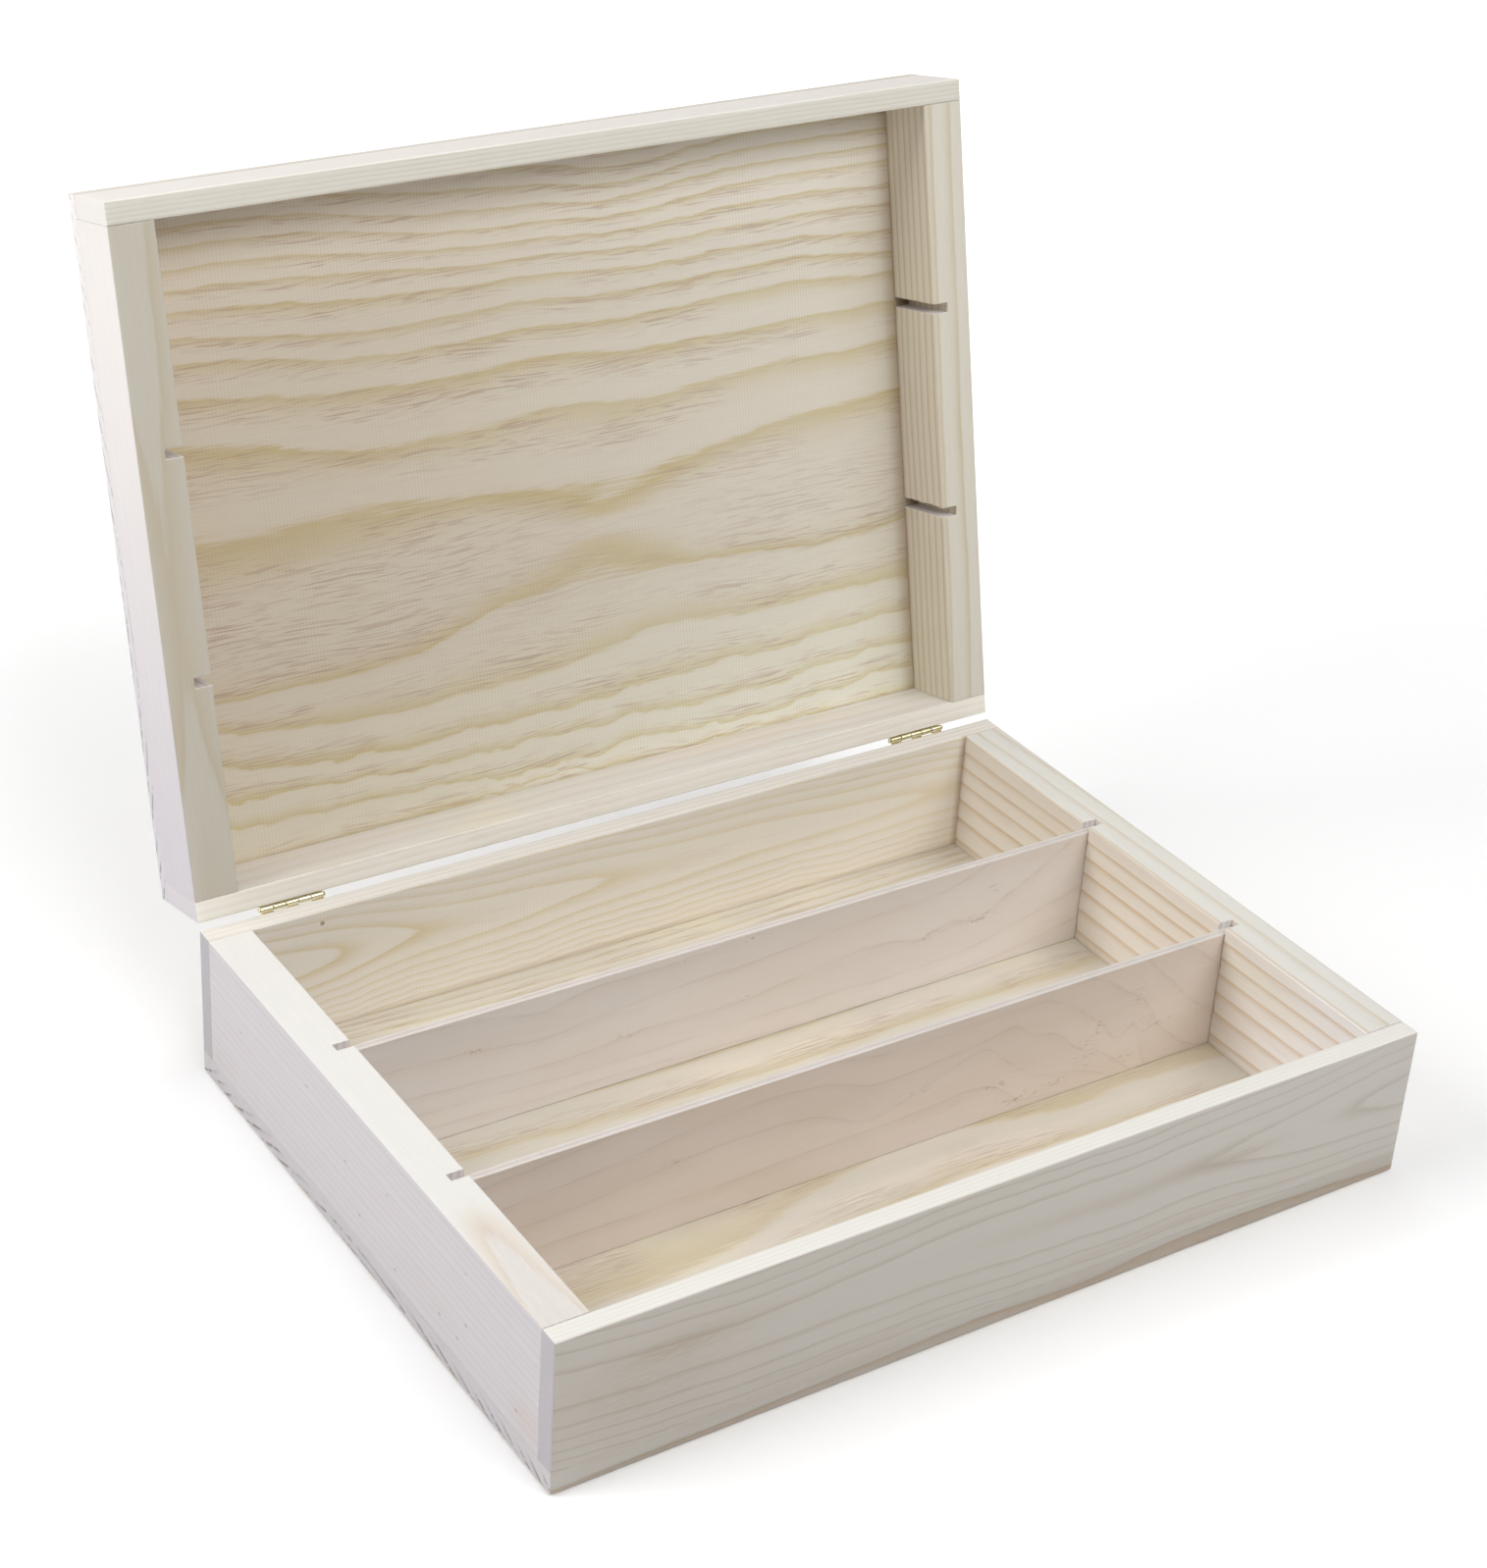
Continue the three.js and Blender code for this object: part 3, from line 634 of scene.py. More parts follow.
SX = (-135, -100, -75, -50, -25, 0, 12, 25, 45, 65, 90, 112, 135)
LID_LINES = [
    (10, (-103, -102.4, -100.6, -97, -95, -93, -91.4, -90.2, -91, -93.4, -94.6, -94.4, -94.4)),
    (9, (-97, -96.4, -94.4, -90, -88.6, -87, -85.6, -85, -86.4, -88.4, -89.2, -89, -89)),
    (8, (-91, -90.6, -89, -85, -82.6, -81.4, -80.6, -79.8, -80.6, -83, -84.2, -84, -84)),
    (7, (-84.4, -84, -82.2, -79, -77.2, -76.2, -75.6, -74.8, -75, -76.4, -77, -76.6, -75.8)),
    (6, (-78.6, -77.2, -75.8, -73.6, -71.4, -70.8, -70, -69, -68.8, -70, -70.4, -70.2, -69.4)),
    (5, (-72, -70.4, -67.6, -66.2, -65.4, -64.8, -64, -63, -62.2, -62.8, -63.2, -61.8, -60)),
    (4, (-65.5, -60.5, -57.6, -56.4, -57, -57.2, -56, -55.2, -55.2, -55.8, -56.6, -55, -52.6)),
    (3, (-57, -54, -50, -48, -48.4, -48.4, -47.4, -46.8, -47, -47.4, -48.6, -47.4, -46)),
    (2, (-46.6, -42, -39.4, -38, -38, -39, -38, -36.4, -35.6, -35.6, -36, -36, -35.6)),
    (1, (-31.4, -27, -21, -19.4, -20, -22, -21, -19.4, -20, -21.4, -23, -22, -23)),
    (0, (-1.6, -1, -2, -0.6, 2, 4.6, 6, 7.4, 3, 0, -3, -4, -6)),
    (-0.85, (24, 24, 24, 23, 21, 21, 21, 20.5, 21, 20, 20, 20, 18)),
    (0, (50, 50.4, 50.2, 47, 40, 38.6, 38.2, 38.8, 38.6, 39.2, 41.8, 42.4, 40.4)),
    (1, (58.5, 64, 65.6, 66.2, 66.2, 64.2, 62.2, 59.6, 58.6, 61, 61.2, 61, 61.4)),
    (2, (68, 76.6, 78.2, 79, 79, 78.4, 77.6, 77, 76, 76, 75.4, 74.4, 73.4)),
    (3, (81.5, 84.2, 85.8, 87.2, 87.4, 87.2, 86.8, 86.6, 88.2, 88.4, 87.2, 85.4, 84.4)),
    (4, (89.5, 93, 93.4, 94.6, 97.8, 97.6, 96.4, 95, 96.8, 98.6, 96.6, 94.6, 94)),
    (5, (106, 105.5, 104.5, 103, 101.8, 101, 102.5, 104, 103, 102, 103, 104, 103.5)),
]
LID_LINES = [(lv, stations(SX, ys)) for lv, ys in LID_LINES]


def lid_panel_rings(a, c, t):
    low = np.clip((c - 52) / 25, 0, 1)      # the lines towards the hinges are wavier
    r = family(a, c + (0.35 + 0.65 * low) * wob(a + 0.3 * c, 9, 3) + (0.2 + 0.4 * low) * wob(a - 0.2 * c, 4, 6)
               + 0.6 * low * wob(a - 0.35 * c, 17, 5), LID_LINES)
    mid = curve(a, [(-135, 24), (-50, 23), (0, 21), (45, 21), (135, 18)])
    upper = np.interp(a, (-135, -60, -25, 0, 14, 30, 50, 135), (0.55, 0.6, 0.9, 1.8, 2.4, 1.8, 0.6, 0.55))
    lower = np.interp(a, (-135, -70, -30, 0, 14, 32, 60, 135), (1.6, 1.4, 0.95, 1.5, 2.2, 1.5, 1.0, 0.9))
    inside = -np.power(np.clip(-r, 0, 0.97), np.where(c > mid, upper, lower))
    # the broad patches beside the centre, where the outermost rings are cut almost flat
    patch = 0.62 * np.exp(-((a - 14 + 0.25 * (c - mid)) / 17.0) ** 2)
    side = np.clip((np.abs(c - mid + 1.0) - 1.5) / 3.0, 0, 1)
    inside = inside * (1 - patch * side)
    return np.where(r < 0, inside, r)


def pore_zone(a, c, t):
    """Where resin canals lie thick on the lid panel's underside."""
    return np.clip(1.2 - np.abs(c - 25) / 25, 0, 1) * np.interp(a, (-135, -20, 15, 35, 60, 135), (1, 1, 0.45, 0.25, 0.6, 0.5))


FX = (-135, -100, -75, -50, -25, 0, 20, 45, 75, 100, 135)
FLOOR_LINES = [
    (6, (-104, -104, -103, -101, -100, -100, -99, -99, -99, -100, -101)),
    (5, (-95, -94, -92, -90, -89, -88, -86, -86, -87, -88, -90)),
    (4, (-84, -82, -80, -78, -76, -74, -72, -73, -75, -77, -80)),
    (3, (-69, -68, -67, -65, -62, -60, -57, -57, -58, -60, -63)),
    (2, (-58, -57, -55.5, -52, -43, -37.5, -33.5, -38.5, -44, -43.5, -45)),
    (1, (24, 22.5, 20, 18.5, 17.5, 17, 17, 18, 18.5, 18.5, 19)),
    (0, (36, 35, 34, 33, 32.5, 32, 32, 33, 34, 34, 34)),
    (-1, (50, 49, 48, 47, 46, 45, 45, 46, 47, 48, 48)),
    (-2, (64, 63, 61, 60, 59, 58, 58, 59, 60, 61, 62)),
    (-3, (76, 75, 73, 72, 71, 70, 70, 71, 72, 73, 74)),
    (-4, (86, 85, 83, 82, 81, 80, 80, 81, 82, 83, 84)),
    (-5, (95, 93.5, 92, 90.5, 89.5, 89, 89, 90, 91, 92, 93)),
    (-6, (98.5, 97.2, 95.6, 94, 93.4, 93, 93, 94, 94.8, 95.4, 96)),
    (-7, (100.7, 99.8, 99, 98.3, 98, 98.4, 98.8, 99.4, 100, 100.4, 100.8)),
    (-8, (104, 103, 102.4, 102, 101.8, 102, 102.6, 103, 103.5, 104, 104)),
]
FLOOR_LINES = [(lv, stations(FX, ys)) for lv, ys in FLOOR_LINES]


def floor_rings(a, c, t):
    return family(a, c, FLOOR_LINES)


BOTTOM_EDGE = [(-1, stations((-150, 150), (-5, -5))),
               (0, stations((-150, -90, -50, -10, 30, 50, 80, 100, 130, 150),
                            (2.0, 3.0, 4.1, 5.0, 3.4, 5.3, 6.3, 5.6, 3.8, 2.2))),
               (1, stations((-150, 0, 150), (11, 12, 13)))]

FRONT_HIGH = [(-150, 0.35), (-120, 0.30), (-90, 0.29), (-50, 0.46), (0, 0.80), (60, 0.95), (73, 1.0), (100, 1.42),
              (140, 2.17), (150, 2.3)]
FRONT_MID = [(-150, 36), (-128, 33), (-90, 31.2), (-50, 31.7), (0, 31), (73, 30.3), (100, 30.2), (140, 31.5), (150, 31.7)]


def front_rings(a, c, t):
    wave = 0.8 * np.sin(a / 17.0) + 0.9 * wob(a, 21, 5) + 0.5 * wob(a, 8, 9)
    return cathedral(a, c + wave * 0.5, FRONT_HIGH, FRONT_MID, 10.3, 1.75)


BACK_HIGH = [(-150, 6.3), (-135, 5.7), (-105, 5.0), (-92, 4.45), (-79, 4.0), (-40, 3.45), (-8, 3.0), (30, 2.62),
             (75, 2.32), (122, 2.0), (150, 1.7)]
BACK_MID = [(-150, 35), (-105, 35), (-62, 34), (-8, 34), (60, 33.6), (122, 32), (150, 31)]


def back_inside_rings(a, c, t):
    low = np.clip((26 - c) / 10, 0, 1)
    c = c + 0.35 * np.sin(a / 11.0) + low * (0.8 * wob(a, 17, 3) + 0.45 * wob(a, 6, 8))
    return cathedral(a, c, BACK_HIGH, BACK_MID, 8.5, 1.7)


def rotary(lines):
    return lambda a, c, t: family(a, c, lines)


DIV_REAR = [
    (-1, [(-140, -4), (0, -6), (60, -8), (140, 0)]),
    (0, [(-140, 7), (-75, 5), (0, 3), (60, 1.5), (100, 3), (140, 8)]),
    (1, [(-140, 14.5), (-105, 13.6), (-75, 12.2), (-40, 11.8), (-15, 10.4), (45, 8.8), (85, 9.8), (115, 12.8), (140, 18)]),
    (2, [(-140, 20.5), (-110, 19.4), (-65, 17.2), (-15, 16.4), (35, 16.8), (65, 15.8), (95, 18.8), (115, 23.8), (140, 30)]),
    (3, [(-140, 28), (-115, 26.4), (-85, 24.2), (-55, 23.8), (-40, 25.6), (-15, 24.8), (5, 25.2), (25, 28.2), (45, 30.4),
         (57, 30.0), (69, 27.4), (80, 30.4), (92, 28.6), (103, 34), (114, 40), (140, 56)]),
    (4, [(-140, 38.5), (-100, 37.2), (-86, 35.4), (-75, 33.8), (-50, 35.8), (-25, 37.8), (0, 38.4), (25, 40.2), (50, 42.2),
         (75, 43.4), (85, 45.8), (95, 49.4), (110, 58), (140, 72)]),
    (5, [(-140, 51), (-95, 47.8), (-75, 44.2), (-50, 47.4), (-30, 46.8), (-5, 48.4), (20, 50), (60, 54), (90, 60), (140, 88)]),
    (6, [(-140, 62), (-75, 56), (0, 60), (90, 72), (140, 100)]),
]
DIV_FRONT = [
    (-1, [(-140, -3), (60, -5), (100, -3), (140, 4)]),
    (0, [(-140, 8), (-60, 7), (20, 8), (52, 8.6), (80, 6), (120, 2), (140, -4)]),
    (1, [(-140, 18.5), (-110, 18.4), (-60, 18.0), (-25, 19.2), (20, 20.4), (48, 20.0), (58, 12), (74, 9), (90, 2), (120, -14), (140, -24)]),
    (2, [(-140, 27), (-95, 28.6), (-67, 32.2), (-45, 33.6), (-20, 31.8), (0, 23.6), (12, 26), (28, 32), (44, 35.6), (50, 30),
         (62, 20), (84, 14), (95, 9), (104, 2), (125, -20), (140, -32)]),
    (3, [(-140, 34.5), (-125, 36), (-95, 38.4), (-60, 42.5), (-35, 44), (-15, 42), (2, 36.4), (22, 36.8), (42, 38.6), (54, 40.6),
         (60, 36), (70, 33), (80, 24), (89, 20), (97, 14), (105, 6), (120, -6), (140, -22)]),
    (4, [(-140, 45), (-100, 48), (-60, 52), (-20, 50), (0, 47), (16, 46), (40, 46), (56, 47), (64, 47), (74, 42), (82, 36), (88, 31),
         (96, 22), (103, 26), (108, 10), (120, 2), (140, -10)]),
    (5, [(-140, 60), (-20, 64), (20, 60), (60, 58), (76, 52), (86, 48), (92, 44), (100, 38), (106, 34), (112, 24), (122, 14), (140, 4)]),
    (6, [(-140, 80), (20, 80), (80, 66), (96, 56), (106, 48), (116, 38), (126, 28), (140, 18)]),
    (7, [(-140, 98), (60, 94), (100, 72), (112, 58), (124, 48), (140, 34)]),
]
DIV_REAR_FLECKS = [(-95, 36.4, 4.5, 0.8, 1.2), (-42, 25.8, 4, 0.7, 1.0), (1, 25.4, 4, 0.7, 0.9), (92, 28.6, 6, 1.6, 0.9),
                   (72, 27.8, 5, 1.4, 0.9), (98, 39, 2, 1.2, 0.9), (-20, 47, 6, 0.7, 0.8), (2, 48, 5, 0.7, 0.8)]
DIV_FRONT_FLECKS = [(-67, 32, 4, 0.7, 1.2), (33, 19, 2, 0.7, 1.1), (84, 21, 3.5, 4, 1.1), (88, 29.5, 2, 3, 1.1),
                    (48, 20.2, 5, 1.2, 1.0), (58, 12.4, 7, 1.6, 1.0), (72, 13.4, 7, 1.2, 0.9), (99, 13.4, 4, 1.6, 1.0),
                    (112, 24, 6, 1.4, 0.8), (18, 28.5, 5, 1.0, 0.6), (103, 38, 1.6, 6, 0.6), (107, 25, 2, 3, 0.7)]


def straight(spacing, slope=0.0, seed=1, wave=0.25, phase=0.0):
    """Quarter-sawn face: nearly straight lines along the grain."""
    return lambda a, c, t: (c + slope * a + wave * wob(a, 37, seed) + 0.4 * wave * wob(a, 13, seed + 7)) / spacing + phase


def uneven(spacing, slope, seed, wave):
    """Nearly straight lines whose spacing varies from ring to ring."""
    def f(a, c, t):
        z = c + slope * a + wave * wob(a, 37, seed) + 0.4 * wave * wob(a, 13, seed + 7)
        return (z + 1.3 * wob(z, 5.3, seed + 20) + 0.45 * wob(z, 2.1, seed + 21)) / spacing
    return f


def rim(spacing, slope=0.0, seed=1, wave=0.2, phase=0.0):
    """The same for a narrow face that runs through the board's thickness."""
    return lambda a, c, t: (t + slope * a + wave * wob(a, 41, seed)) / spacing + phase


def disc(pc, pt, spacing, squeeze=1.0):
    """End grain: arcs about the pith."""
    return lambda a, c, t: np.hypot((c - pc) * squeeze, t - pt) / spacing + 0.04 * wob(c, 5, 3)


def ticks(face, inward):
    """End grain of a panel: how far the ring marks are faded out above the outer edge."""
    return lambda a, c, t: np.clip((inward * (t - face) - 3.0 - 1.3 * wob(c, 4, 9)) / 2.4, 0, 1)


def leaf_figure(a, c, t):
    """Left rim: a leaf-shaped figure that opens towards the front corner."""
    x0 = curve(a, [(-110, -143.6), (-80, -143.4), (-58, -142.8), (0, -142.5), (110, -142)])
    high = curve(a, [(-110, 1.42), (-103, 1.38), (-85, 1.22), (-70, 1.10), (-60, 1.0), (-54, 0.86), (-47, 0.55), (-40, 0.36),
                     (-20, 0.25), (110, 0.2)])
    return np.maximum(high - 0.42 * (np.abs(t - x0) / 7.2) ** 1.5, 0.13)


def right_rim(a, c, t):
    l1 = curve(a, [(-110, 144.8), (-60, 144.2), (0, 143.6), (60, 142.2), (110, 140.8)])
    l2 = curve(a, [(-110, 153), (0, 151.4), (50, 149.6), (110, 147.6)])
    l0 = curve(a, [(-110, 136.6), (0, 136.4), (110, 135.0)])
    out = np.where(t < l1, 1 + (t - l1) / (l1 - l0), 1 + (t - l1) / (l2 - l1))
    return out


def lid_left_rim(a, c, t):
    x0 = curve(a, [(-110, -147), (-40, -145), (-12, -144.6), (35, -143.5), (110, -144)])
    high = curve(a, [(-110, 1.55), (-60, 1.28), (-34, 1.1), (-12, 1.0), (10, 0.93), (35, 1.0), (60, 1.2), (80, 1.5), (110, 1.85)])
    return high - 0.34 * (np.abs(t - x0) / 6.0) ** 1.4


def lid_right_rim(a, c, t):
    l1 = curve(a, [(-110, 145.6), (-50, 145.0), (0, 144.6), (60, 144.8), (110, 143.6)])
    return 1 + (t - l1) / 7.4 + 0.03 * wob(a, 19, 4)


def tray_right_inside(a, c, t):
    z = c + 0.010 * a + 0.35 * wob(a, 42, 12)
    return np.interp(z, (-4, 5, 12, 20.5, 28, 35, 41, 47, 54), (-2, -1, 0, 1, 2, 3, 4, 5, 6))


def lid_right_inside(a, c, t):
    z = c + 0.004 * a + 0.3 * wob(a, 42, 15)
    return np.interp(z, (50, 54.5, 58.2, 62.0, 65.2, 68.8, 71.9, 75.5, 80), (0, 1, 2, 3, 4, 5, 6, 7, 8))


# ------------------------------------------------------------------ materials
# Every board is pine, but its colours here also carry painted light: each face is set for the light that falls on it.
# The tray front and the bottom panel's edges are set darker as painted shade, the tray's left side and most end grain
# lilac as painted cool light from the left, the lid front paler as painted light from above, and each rim_base lighter
# or darker as painted light and shade on that rim.
M_FRONT = wood("pine_front", base=(0.530, 0.500, 0.458), late=(0.352, 0.293, 0.230), seed=1, late_amt=0.46, width=0.20,
               warp=0.07, jitter=0.04, pore=0.0, blotch=0.35, pink=(0.522, 0.480, 0.432), sand=(0.518, 0.496, 0.432),
               end_col=(0.475, 0.443, 0.470), end_late=(0.417, 0.387, 0.404), end_amt=0.4, stain_col=(0.395, 0.300, 0.208),
               rim_base=(0.740, 0.725, 0.680), rim_late=(0.625, 0.580, 0.495), rim_gain=1.3,
               # painted shade: darkens the outer face of the front board towards its left end
               shade=[(0, -HW, 1, 290, 1.0, -HD, (0.90, 0.89, 0.88))])
M_BACK = wood("pine_back", base=(0.830, 0.785, 0.705), late=(0.720, 0.620, 0.400), seed=2, late_amt=0.64, width=0.34,
              warp=0.06, jitter=0.06, pore=0.12, chatter=0.03, blotch=0.35, pink=(0.82, 0.75, 0.67),
              sand=(0.82, 0.77, 0.63), end_col=(0.455, 0.43, 0.455), end_late=(0.40, 0.375, 0.39), end_amt=0.4,
              rim_base=(0.745, 0.712, 0.665), rim_late=(0.660, 0.595, 0.505), ring_fade=(2.7, 3.7, 1.5),
              marks=[(HINGE_X[0] + NAIL_X, AXIS_Z - NAIL_DOWN, YI, 0.95, 0.7)],
              # painted shade in the inside corners of the back wall, along the floor and both side walls
              shade=[(1, BOTTOM_T, 1, 2.5, 0.45, YI), (0, XI, -1, 3.0, 0.6, YI), (0, -XI, 1, 2.5, 0.3, YI)])
M_LEFT = wood("pine_left", base=(0.590, 0.559, 0.574), late=(0.472, 0.426, 0.437), seed=3, late_amt=0.37, width=0.4,
              warp=0.10, jitter=0.08, pore=0.0, dots=1.0, blotch=0.3, pink=(0.600, 0.538, 0.550), sand=(0.580, 0.559, 0.567),
              rim_base=(0.716, 0.703, 0.678), rim_late=(0.625, 0.530, 0.430), rim_gain=1.6, stain_col=(0.560, 0.465, 0.420),
              stain_grain=0.25)
M_RIGHT = wood("pine_right", base=(0.870, 0.812, 0.732), late=(0.660, 0.500, 0.332), seed=4, late_amt=0.95, width=0.26,
               warp=0.05, jitter=0.05, pore=0.15, blotch=0.4, rim_base=(0.680, 0.665, 0.620), rim_late=(0.582, 0.500, 0.383),
               # painted shade in the inside corners with the floor and the back wall; the third entry is painted light,
               # making the inner face lighter and bluer towards the front
               shade=[(1, BOTTOM_T, 1, 2.2, 0.4, XI), (0, YI, -1, 2.0, 0.4, XI), (0, -YI, 1, 85, 1.0, XI, (1.13, 1.18, 1.31))])
M_BOTTOM = wood("pine_bottom", base=(0.640, 0.600, 0.522), late=(0.565, 0.475, 0.290), seed=5, late_amt=0.72, width=0.32,
                warp=0.08, jitter=0.09, pore=0.60, chatter=0.02, blotch=0.5, end_col=(0.555, 0.525, 0.54),
                end_late=(0.24, 0.22, 0.225), end_amt=1.5, end_line=True, rim_base=(0.480, 0.452, 0.410),
                rim_late=(0.345, 0.270, 0.195), rim_gain=1.1, stain_col=(0.40, 0.31, 0.22))
M_LID_TOP = wood("pine_lid_panel", base=(0.690, 0.643, 0.555), late=(0.582, 0.494, 0.292), seed=6, late_amt=0.92, width=0.34,
                 warp=0.09, jitter=0.11, pore=0.66, chatter=0.045, blotch=0.35, pink=(0.682, 0.624, 0.545),
                 sand=(0.706, 0.659, 0.549), everywhere=0.04, end_col=(0.60, 0.57, 0.60), end_late=(0.26, 0.24, 0.25),
                 # painted light on the panel's end grain towards its front edge, the top when the lid is open
                 end_painted_light=(1, -110, 90, 0.4, (0.80, 0.765, 0.745)),
                 end_amt=1.3, end_line=True, rim_base=(0.775, 0.742, 0.686), rim_late=(0.694, 0.632, 0.549),
                 pore_cut=0.58, pore_zone=True, stain_col=None, pore_band=(0.5, 0.93),
                 # painted shade and painted light on the panel's underside: a brown painted shadow along the lid's
                 # front board, painted shade along the right and hinge edges and over the left part, and painted light
                 # in broad bands beside the hinge edge and the front edge
                 shade=[(1, -YI, 1, 3.5, 0.85, LID_1 - TOP_T, (0.58, 0.47, 0.36)), (0, XI, -1, 6.0, 0.55, LID_1 - TOP_T),
                        (1, YI, -1, 2.0, 0.3, LID_1 - TOP_T), (0, -XI, 1, 250.0, 0.42, LID_1 - TOP_T),
                        (1, YI, -1, 75, 1.0, LID_1 - TOP_T, (1.19, 1.24, 1.24)), (1, -YI, 1, 60, 1.0, LID_1 - TOP_T, (1.10, 1.11, 1.14))])
M_LID_LEFT = wood("pine_lid_left", base=(0.788, 0.750, 0.718), late=(0.715, 0.678, 0.655), seed=7, late_amt=0.15, width=0.4,
                  warp=0.08, jitter=0.05, pore=0.0, blotch=0.25, pink=(0.778, 0.727, 0.718), sand=(0.788, 0.756, 0.713),
                  # painted shade: the outer face turns darker and lilac towards the hinge edge, the bottom when the lid
                  # is open; the rim colours are set darker as painted shade
                  shade=[(0, 110, -1, 215, 1.0, -HW, (0.74, 0.73, 0.80))],
                  rim_base=(0.540, 0.507, 0.435), rim_late=(0.480, 0.405, 0.290), rim_gain=4.0)
M_LID_RIGHT = wood("pine_lid_right", base=(0.762, 0.706, 0.595), late=(0.560, 0.450, 0.290), seed=8, late_amt=0.8, width=0.3,
                   warp=0.05, jitter=0.05, pore=0.1, blotch=0.35, rim_base=(0.672, 0.638, 0.552), rim_late=(0.56, 0.466, 0.32),
                   # painted shade along the inner face where it meets the lid panel
                   shade=[(1, LID_1 - TOP_T, -1, 2.0, 0.5, XI)])
M_LID_FRONT = wood("pine_lid_front", base=(0.835, 0.797, 0.757), late=(0.775, 0.717, 0.620), seed=9, late_amt=0.4, width=0.4,
                   warp=0.06, jitter=0.05, pore=0.0, blotch=0.3, pink=(0.825, 0.780, 0.742), sand=(0.830, 0.797, 0.742), end_col=(0.780, 0.745, 0.715),
                   end_late=(0.74, 0.70, 0.67),
                   end_amt=0.2, rim_base=(0.690, 0.665, 0.600), rim_late=(0.56, 0.51, 0.38), rim_gain=1.5)
M_LID_BACK = wood("pine_lid_back", base=(0.745, 0.718, 0.675), late=(0.640, 0.580, 0.490), seed=10, late_amt=0.5, width=0.5,
                  warp=0.2, jitter=0.1, pore=0.15, blotch=0.5, end_col=(0.615, 0.578, 0.602), end_late=(0.570, 0.535, 0.550),
                  end_amt=0.2, rim_base=(0.880, 0.838, 0.762), rim_late=(0.75, 0.69, 0.58))
M_DIV_F = plywood("ply_front", (0.730, 0.640, 0.570), (0.700, 0.600, 0.515), seed=1, line=0.30)
M_DIV_R = plywood("ply_rear", (0.750, 0.700, 0.660), (0.735, 0.670, 0.610), seed=2, line=0.30)
M_BRASS = brass_material("brass_leaf")

# ------------------------------------------------------------------ tray boards
E, EP, EI = EASE, EASE_PANEL, EASE_IN
X, Y, Z = 0, 1, 2

board("bottom_panel_wood", (-HW, -HD, 0), (HW, HD, BOTTOM_T - G2), "tray", M_BOTTOM, (X, Y, Z), (3.2, 2.2, 2.2),
      [(X, -1, -1, EP), (X, 1, -1, EP), (Y, -1, 1, EP), (Y, -1, -1, EP),
       (Z, -1, -1, E), (Z, 1, -1, E), (Z, -1, 1, E), (Z, 1, 1, E)],
      {None: lambda a, c, t: floor_rings(a, c, t), YN: lambda a, c, t: family(a, t, BOTTOM_EDGE),
       YP: lambda a, c, t: family(a, t, BOTTOM_EDGE), XN: disc(5, -190, 3.3), XP: disc(5, -190, 3.3)},
      stain={XN: ticks(0.0, 1), XP: ticks(0.0, 1),
             # a brown band low on the front edge, strongest on its right half
             YN: lambda a, c, t: spots(a, t, [(70, 2.4, 85, 2.2, 0.75), (-60, 6, 40, 1.5, 0.2)])}, rims=(YN, YP))
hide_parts("base_bottom_panel")

board("front_board_wood", (-HW, -HD, BOTTOM_T + G2), (HW, -YI, TRAY_H), "tray", M_FRONT, (X, Z, Y), (2.6, 1.5, 1.4),
      [(Z, -1, -1, E), (Z, 1, -1, E), (X, -1, 1, E), (X, 1, 1, EI), (Y, 1, -1, E), (Y, 1, 1, E)],
      {None: front_rings, ZP: rim(1.5, 0.002, 3, 0.3), XN: rim(1.6, 0, 2, 0.2), XP: rim(1.6, 0, 2, 0.2)},
      stain={YN: lambda a, c, t: spots(a, c, [(-112, 36, 22, 4.5, 0.55), (-122, 26, 26, 14, 0.3), (-60, 12, 30, 1.6, 0.25),
                                                  (60, 12.4, 50, 1.4, 0.3), (82, 29.5, 16, 1.8, 0.55)])},
      rims=(ZP,))
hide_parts("base_front_board")

board("back_board_wood", (-HW, YI, BOTTOM_T + G2), (HW, HD, TRAY_H), "tray", M_BACK, (X, Z, Y), (2.6, 1.5, 1.4),
      [(Z, -1, 1, E), (Z, 1, 1, E), (X, 1, 1, E), (X, -1, 1, EI), (Y, 1, -1, E), (Y, 1, 1, E)],
      {None: back_inside_rings, ZP: rim(2.2, 0.004, 6, 0.5), XN: rim(1.8, 0, 2, 0.2), XP: rim(1.8, 0, 2, 0.2)},
      rims=(ZP,))
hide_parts("base_back_board")

yb = YI - GLUE
board("left_board_wood", (-HW, -yb, BOTTOM_T + G2), (-XI, yb, TRAY_H), "tray", M_LEFT, (Y, Z, X), (1.6, 2.2, 0.6),
      [(Y, 1, -1, E), (Y, 1, 1, EI)],
      {None: uneven(2.9, 0.004, 4, 0.45), ZP: leaf_figure, YN: rim(2.4), YP: rim(2.4)},
      stain={ZP: lambda a, c, t: np.maximum(spots(a, t, [(-62, -142.9, 6, 1.6, 0.6), (-100, -148.5, 9, 1.2, 0.35)]),
                                            0.34 * np.clip((leaf_figure(a, c, t) - 0.93) / 0.12, 0, 1)),
             XN: lambda a, c, t: spots(a, c, [(-97, 16, 9, 6, 0.5), (98, 12, 14, 5, 0.2), (-40, 20, 16, 4, 0.15)])},
      grooves=-1, chips=[(0.28, 0.12, 3), (0.3, 0.12, 5)], rims=(ZP,))
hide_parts("base_left_board")

board("right_board_wood", (XI, -yb, BOTTOM_T + G2), (HW, yb, TRAY_H), "tray", M_RIGHT, (Y, Z, X), (1.6, 2.2, 0.6),
      [(Y, 1, 1, E), (Y, 1, -1, EI)],
      {None: tray_right_inside, ZP: right_rim, YN: rim(2.4), YP: rim(2.4)},
      grooves=1, chips=[(0.75, 0.14, 11), (0.8, 0.14, 17)], rims=(ZP,))
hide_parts("base_right_board")

